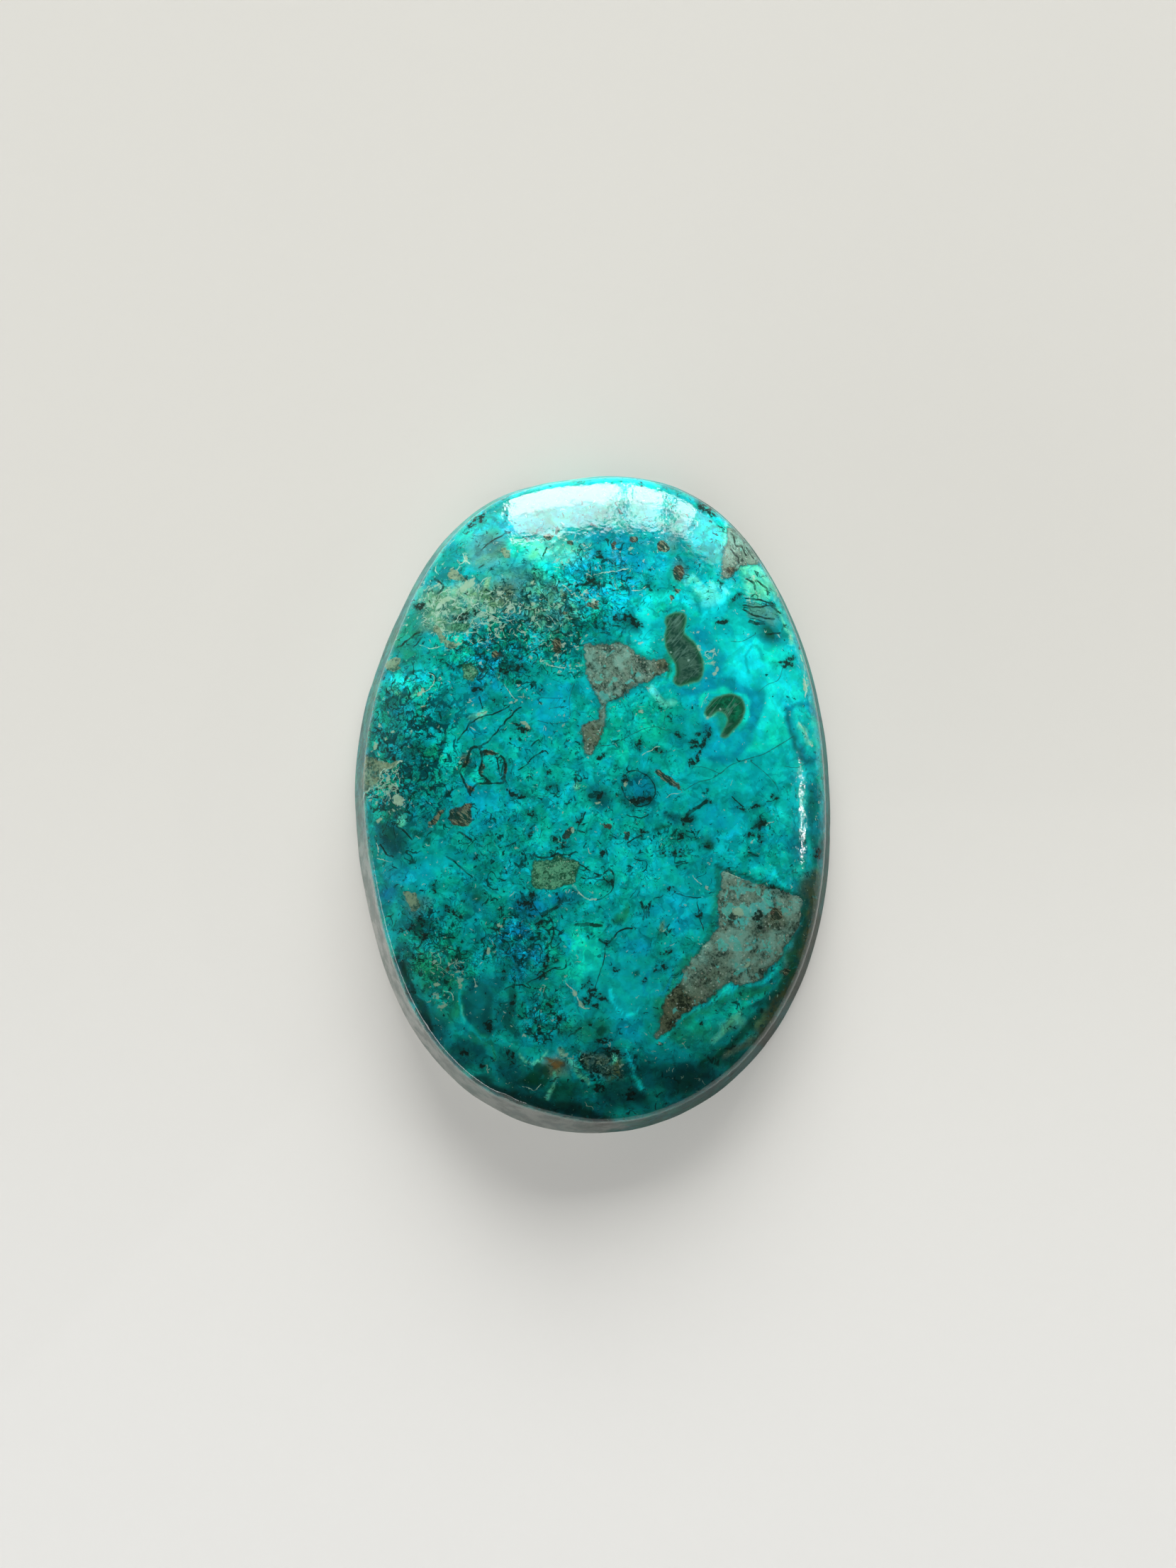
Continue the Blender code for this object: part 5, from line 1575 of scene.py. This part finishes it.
def with_patches(tree, patterns, place, colour, rock):
    """Lays the host rock and the granular green and tan patches. Also gives where host rock shows."""

    def patch(name, **settings):
        return use(patterns["patch"], Depth=stored(tree, name), Place=place, **settings)

    host = patch("host", Crumble=0.5, Edge=0.05, Rim=0.3)
    colour = mixed(host["Rim"] * 0.35, colour, (0.01, 0.10, 0.07))
    colour = mixed(host["Mask"], colour, rock)
    colour = mixed(host["Line"] * 0.35, colour, (0.02, 0.03, 0.02))
    finer = place * 1.7
    tones = {"Dark": (0.008, 0.085, 0.048, 1), "Light": (0.10, 0.37, 0.21, 1)}
    grains = use(patterns["rock"], Place=finer, **tones)["Color"]
    grit = {"Size": 0.45, "Share": 0.75, "Seed": 51.0}
    grains = printed(grains, finer, patterns, (("blots", (0.008, 0.06, 0.028), 0.75, grit),))
    green = patch("granular", Crumble=0.4)
    colour = mixed(green["Mask"], colour, grains)
    colour = mixed(green["Line"] * 0.5, colour, (0.004, 0.07, 0.04))
    tones = {"Dark": (0.035, 0.085, 0.05, 1), "Light": (0.24, 0.35, 0.20, 1)}
    crumbs = use(patterns["rock"], Place=place, **tones)["Color"]
    colour = mixed(patch("tan", Crumble=0.5)["Mask"] * 0.8, colour, crumbs)
    return colour, host["Mask"]


def with_eyes(tree, patterns, place, colour):
    """Dark windows: green near their edge, scratched and nearly black within, with a bright thin rim."""
    depth = stored(tree, "eye")
    eye = use(patterns["patch"], Depth=depth, Place=place, Crumble=0.12, Edge=0.05, Rim=0.18)
    colour = mixed(eye["Rim"] * 0.65, colour, (0.02, 0.33, 0.17))
    dense = ranged(noise(place, 1.6, detail=4, roughness=0.65), 0.40, 0.60)
    core = mixed(dense, (0.010, 0.052, 0.036), (0.046, 0.125, 0.088))
    green = mixed(dense, (0.003, 0.055, 0.028), (0.005, 0.17, 0.080))
    core = mixed(ranged(length(place - GREEN_WINDOW), 2.4, 1.7), core, green)
    inner = mixed(ranged(depth, -0.40, -0.05), core, (0.010, 0.085, 0.042))
    glint = {"Size": 0.4, "Radius": 0.2, "Share": 0.14}
    inner = printed(inner, place, patterns, (("specks", (0.25, 0.45, 0.38), 0.7, glint),))
    for turn, seed, strength in ((-0.9, 41.0, 0.28), (-0.3, 43.0, 0.15)):
        scratches = hair_scratches(place, turn, seed) * strength
        inner = mixed(scratches, inner, (0.16, 0.34, 0.27))
    colour = mixed(eye["Mask"], colour, inner)
    return mixed(eye["Line"] * 0.45, colour, (0.05, 0.20, 0.11))


def with_blots(tree, patterns, place, colour):
    """Lays the dark blots, with holes in them, the brown slivers and the pale specks."""
    depth = stored(tree, "blot") - 0.05
    blot = use(patterns["patch"], Depth=depth, Place=place, Crumble=0.7, Edge=0.05, Rim=0.26)
    colour = mixed(blot["Rim"] * 0.30, colour, (0.002, 0.085, 0.075))
    holes = noise(place, 3.4, detail=3, roughness=0.6)
    solid = blot["Mask"] * ranged(holes, 0.56, 0.50, 0.25, 0.95)
    colour = mixed(solid, colour, (0.006, 0.018, 0.013))
    for name, crumble, strength, ink in (
        ("brown_blot", 0.35, 0.92, grained_brown(place)),
        ("pale_blot", 0.4, 0.8, (0.30, 0.50, 0.34)),
    ):
        spot = use(patterns["patch"], Depth=stored(tree, name), Place=place, Crumble=crumble)
        colour = mixed(spot["Mask"] * strength, colour, ink)
    return colour


def with_lines(tree, patterns, bent, colour):
    """Lays the dark veinlets, the cracks and the cream threads."""
    veinlet = {"Raggedness": 1.9, "Width": 1.15, "Least": 0.65}
    crack = {"Raggedness": 1.6, "Width": 1.0, "Least": 0.6}
    thread = {"Raggedness": 2.5, "Width": 0.60, "Least": 0.20}
    for name, ink, strength, settings in (
        ("vein", (0.005, 0.022, 0.015), 0.92, veinlet),
        ("crack", (0.01, 0.09, 0.075), 0.75, crack),
        ("thread", (0.36, 0.62, 0.48), 0.85, thread),
    ):
        offset = stored(tree, name, "Vector")
        line = use(patterns["line"], Offset=offset, Place=bent, **settings)["Mask"]
        colour = mixed(line * strength, colour, ink)
    return colour


def with_wall(place, colour, wall, down):
    """The wall: ground grey at the lower left, made paler there as a painted reflection of pale
    surroundings, with a pale painted highlight along the edge on the left, and painted shade on the right.
    """
    across, along = part(place, "X"), part(place, "Y")
    wobble = noise(place, 0.35, detail=4, roughness=0.7)
    rightwards = ranged(wobble * 16.0 + across, 5.0, 15.0)
    low = ranged(along, 4.0, -8.0, 0.15, 1.0)
    # painted shade: the face's edge zone and the wall on the right are darkened towards deep teal
    shade = ranged(down, -0.22, 0.02, 0.0, 0.5)
    colour = mixed(shade * rightwards, colour, (0.004, 0.05, 0.045))
    veil = noise(place, 0.8, detail=4, roughness=0.65)
    sawn = mixed(ranged(veil, 0.42, 0.58), (0.42, 0.50, 0.48), (0.62, 0.66, 0.62))
    colour = mixed(wall * 0.9, colour, tinted(colour, sawn))
    # the wall's ground grey, made pale at the lower left as a painted reflection of pale surroundings,
    # darker towards the lower end, and dark olive on the right as painted shade
    pale = mixed(ranged(veil, 0.40, 0.60), (0.31, 0.325, 0.30), (0.45, 0.465, 0.435))
    pale = mixed(ranged(along, -12.0, -20.0, 0.0, 0.45), pale, (0.15, 0.18, 0.16))
    ground_grey_and_painted_reflection = mixed(rightwards, pale, (0.050, 0.062, 0.036))
    share = ranged(veil, 0.3, 0.7, 0.80, 1.0) * low * ranged(rightwards, 0.0, 1.0, 1.0, 0.2)
    colour = mixed(share * wall, colour, ground_grey_and_painted_reflection)
    # painted highlight: a pale line along the edge, strongest at the lower left
    line = ranged(down, 0.0, 0.03) * ranged(down, 0.09, 0.05)
    return mixed(line * (1.0 - rightwards) * low * 0.55, colour, (0.42, 0.50, 0.46))


def stone_height(place, host, grain):
    """The height in mm of pits, slow waves and the host rock's grain."""
    pits = noise(place, 2.4, detail=2.5, roughness=0.55)
    waves = noise(place, 0.7)
    return pits * PIT_DEPTH + waves * WAVE_DEPTH + host * grain * GRAIN_DEPTH


def stone_material():
    material = bpy.data.materials.new("chrysocolla")
    material.use_nodes = True
    tree = material.node_tree
    shader = tree.nodes["Principled BSDF"]
    patterns = make_patterns()
    place = Flow(put(tree, "TexCoord").outputs["Object"]) * MM
    bent = use(patterns["drift"], Place=place, Size=0.9, Amount=0.55)["Place"]
    colour = mottled_ground(tree, patterns, place, bent)
    rock, grain = host_colour(tree, patterns, place, bent, colour)
    colour, host = with_patches(tree, patterns, place, colour, rock)
    colour = with_eyes(tree, patterns, place, colour)
    colour = with_blots(tree, patterns, place, colour)
    colour = with_lines(tree, patterns, bent, colour)
    down, back = stored(tree, "down"), stored(tree, "back")
    edge = (noise(place, 2.2, detail=3, roughness=0.6) - 0.5) * 0.10 + down
    wall = ranged(edge, 0.04, 0.09) * (1.0 - back)
    colour = with_wall(place, colour, wall, back * -2.0 + edge)
    feed(shader.inputs["Base Color"], colour)
    softer = ranged(noise(place, 1.3, detail=5, roughness=0.75), 0.51, 0.60) * stored(tree, "net")
    rough = maths("MAXIMUM", wall, back) * GROUND_DULLNESS + POLISH
    rough = softer * NET_DULLNESS + (host * HOST_DULLNESS + rough)
    feed(shader.inputs["Roughness"], rough)
    shader.inputs["Specular IOR Level"].default_value = 0.5
    height = stone_height(place, host, grain)
    bump = put(tree, "Bump", Strength=1.0, Distance=1 / MM, Height=height)
    feed(shader.inputs["Normal"], Flow(bump.outputs["Normal"]))
    return material


# ---------------------------------------------------------------- view, light and floor

CAMERA_FAR = 0.200  # from the middle of the stone's face
CAMERA_TILT = (-0.036, -0.098)  # how far it stands off the vertical, as a share of the height
SEEN_LENGTH = 0.1029  # what the long side of the picture takes in, at the stone
SENSOR = 36.0
MIDDLE_OFFSET = (0.00044, -0.00086)  # the stone's middle in the picture, right and up of the centre

# The window on a wall at WINDOW_FAR: left and right edges, foot and head, and radiance. Each pane is
# brightest low down, and curtains hang on both sides of the panes. The glow is spread over all the
# panes and isn't seen in reflections.
WINDOW_FAR = 1.20
PANES = (
    (-0.42, 0.10, 0.24, 0.62, 17.5),
    (-0.42, 0.10, 0.62, 1.04, 9.5),
    (0.15, 0.39, 0.24, 0.62, 16.5),
    (0.15, 0.39, 0.62, 1.04, 9.5),
    (0.45, 0.66, 0.28, 0.62, 12.5),
    (0.45, 0.66, 0.62, 1.00, 7.8),
    (-1.04, -0.42, 0.24, 1.20, 0.6),
    (0.66, 1.24, 0.28, 1.16, 1.9),
)
WINDOW_GLOW = (-0.42, 0.66, 0.24, 1.04, 5.4)

# Lamps that aim at the stone: place, width, height and radiance.
PALE_WALL = ((-1.3, -0.9, 0.22), 1.8, 0.26, 6.5)
SMALL_LIGHT = ((1.30, 0.11, 0.48), 0.18, 0.02, 60.0)
FLOOR_LIGHT = ((-0.3, -1.0, 1.1), 1.5, 1.5, 3.9)

ROOM_WALLS = (0.06, 0.30)  # strength of the dimmest and the palest wall
ROOM_CEILING = 0.02

FLOOR_REACH = 3
BOARD = (0.49, 0.483, 0.448)
# painted light: the board's colour away from the window, whiter to make up for the light that falls off
# there
BOARD_WITH_PAINTED_LIGHT = (0.54, 0.536, 0.515)


def show(item):
    bpy.context.scene.collection.objects.link(item)
    return item


def make_camera():
    data = bpy.data.cameras.new("view_from_above")
    camera = show(bpy.data.objects.new("view_from_above", data))
    direction = Vector((*CAMERA_TILT, 1)).normalized()
    camera.location = Vector((0, 0, EDGE_HEIGHT)) + direction * CAMERA_FAR
    right = Vector((0, 1, 0)).cross(direction).normalized()
    turn = Matrix((right, direction.cross(right), direction)).transposed()
    camera.rotation_euler = turn.to_euler()
    data.sensor_width = SENSOR
    data.sensor_fit = "AUTO"
    data.lens = SENSOR * CAMERA_FAR / SEEN_LENGTH
    data.shift_x = -MIDDLE_OFFSET[0] / SEEN_LENGTH
    data.shift_y = -MIDDLE_OFFSET[1] / SEEN_LENGTH
    data.clip_start = 0.01
    data.clip_end = 20
    bpy.context.scene.camera = camera


def make_light(name, place, width, height, strength, aim=(0, 0, 0)):
    """A soft rectangular lamp. strength is its radiance, so it doesn't change with its size."""
    data = bpy.data.lights.new(name, "AREA")
    data.shape = "RECTANGLE"
    data.size = width
    data.size_y = height
    data.energy = strength * math.pi * width * height
    lamp = show(bpy.data.objects.new(name, data))
    lamp.location = place
    lamp.rotation_euler = (Vector(place) - Vector(aim)).to_track_quat("Z", "Y").to_euler()
    return lamp


def light_window(name, left, right, foot, head, strength):
    """A lamp in the window, facing straight into the room."""
    across, level = (left + right) / 2, (foot + head) / 2
    place, aim = (across, WINDOW_FAR, level), (across, 0, level)
    return make_light(name, place, right - left, head - foot, strength, aim)


def make_lights():
    for number, pane in enumerate(PANES):
        light_window(f"window_pane_{number}", *pane)
    light_window("window_glow", *WINDOW_GLOW).visible_glossy = False
    make_light("pale_wall_on_the_left", *PALE_WALL)
    make_light("small_light_on_the_right", *SMALL_LIGHT)


def make_room():
    """A dim room: dark overhead, and paler towards its walls."""
    world = bpy.data.worlds.new("room")
    world.use_nodes = True
    around = Flow(put(world.node_tree, "TexCoord").outputs["Generated"])
    walls = ranged(part(around, "Y") - part(around, "X"), -0.4, 1.4, *ROOM_WALLS)
    overhead = ranged(part(around, "Z"), 0.15, 0.8)
    room = world.node_tree.nodes["Background"]
    feed(room.inputs["Strength"], between(overhead, walls, ROOM_CEILING))
    feed(room.inputs["Color"], (1, 1, 1))
    bpy.context.scene.world = world


def pale_board():
    """Matte white board, a little whiter away from the window: painted light, where the window's light
    falls off.
    """
    board = bpy.data.materials.new("pale_matte_board")
    board.use_nodes = True
    shader = board.node_tree.nodes["Principled BSDF"]
    along = part(Flow(put(board.node_tree, "TexCoord").outputs["Object"]), "Y")
    feed(shader.inputs["Base Color"], mixed(ranged(along, 0.02, -0.05), BOARD, BOARD_WITH_PAINTED_LIGHT))
    feed(shader.inputs["Roughness"], 0.9)
    return board


def make_floor():
    plate = bmesh.new()
    bmesh.ops.create_grid(plate, x_segments=1, y_segments=1, size=FLOOR_REACH)
    mesh = bpy.data.meshes.new("pale_floor")
    plate.to_mesh(mesh)
    plate.free()
    mesh.materials.append(pale_board())
    floor = show(bpy.data.objects.new("pale_floor", mesh))
    light_floor(floor)


def light_floor(floor):
    """A soft lamp for the floor alone, which keeps the shadow beside the stone pale."""
    lamp = make_light("floor_light", *FLOOR_LIGHT)
    lamp.data.use_shadow = False
    floor_alone = bpy.data.collections.new("floor_alone")
    floor_alone.objects.link(floor)
    lamp.light_linking.receiver_collection = floor_alone


# ---------------------------------------------------------------- putting it together


def finish_stone(stone):
    stone.data.materials.append(stone_material())
    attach(stone, "root")
    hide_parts("polished_stone")


def main():
    bpy.context.scene.view_settings.view_transform = "Standard"
    stone = make_stone()
    finish_stone(stone)
    make_floor()
    make_camera()
    make_lights()
    make_room()


main()
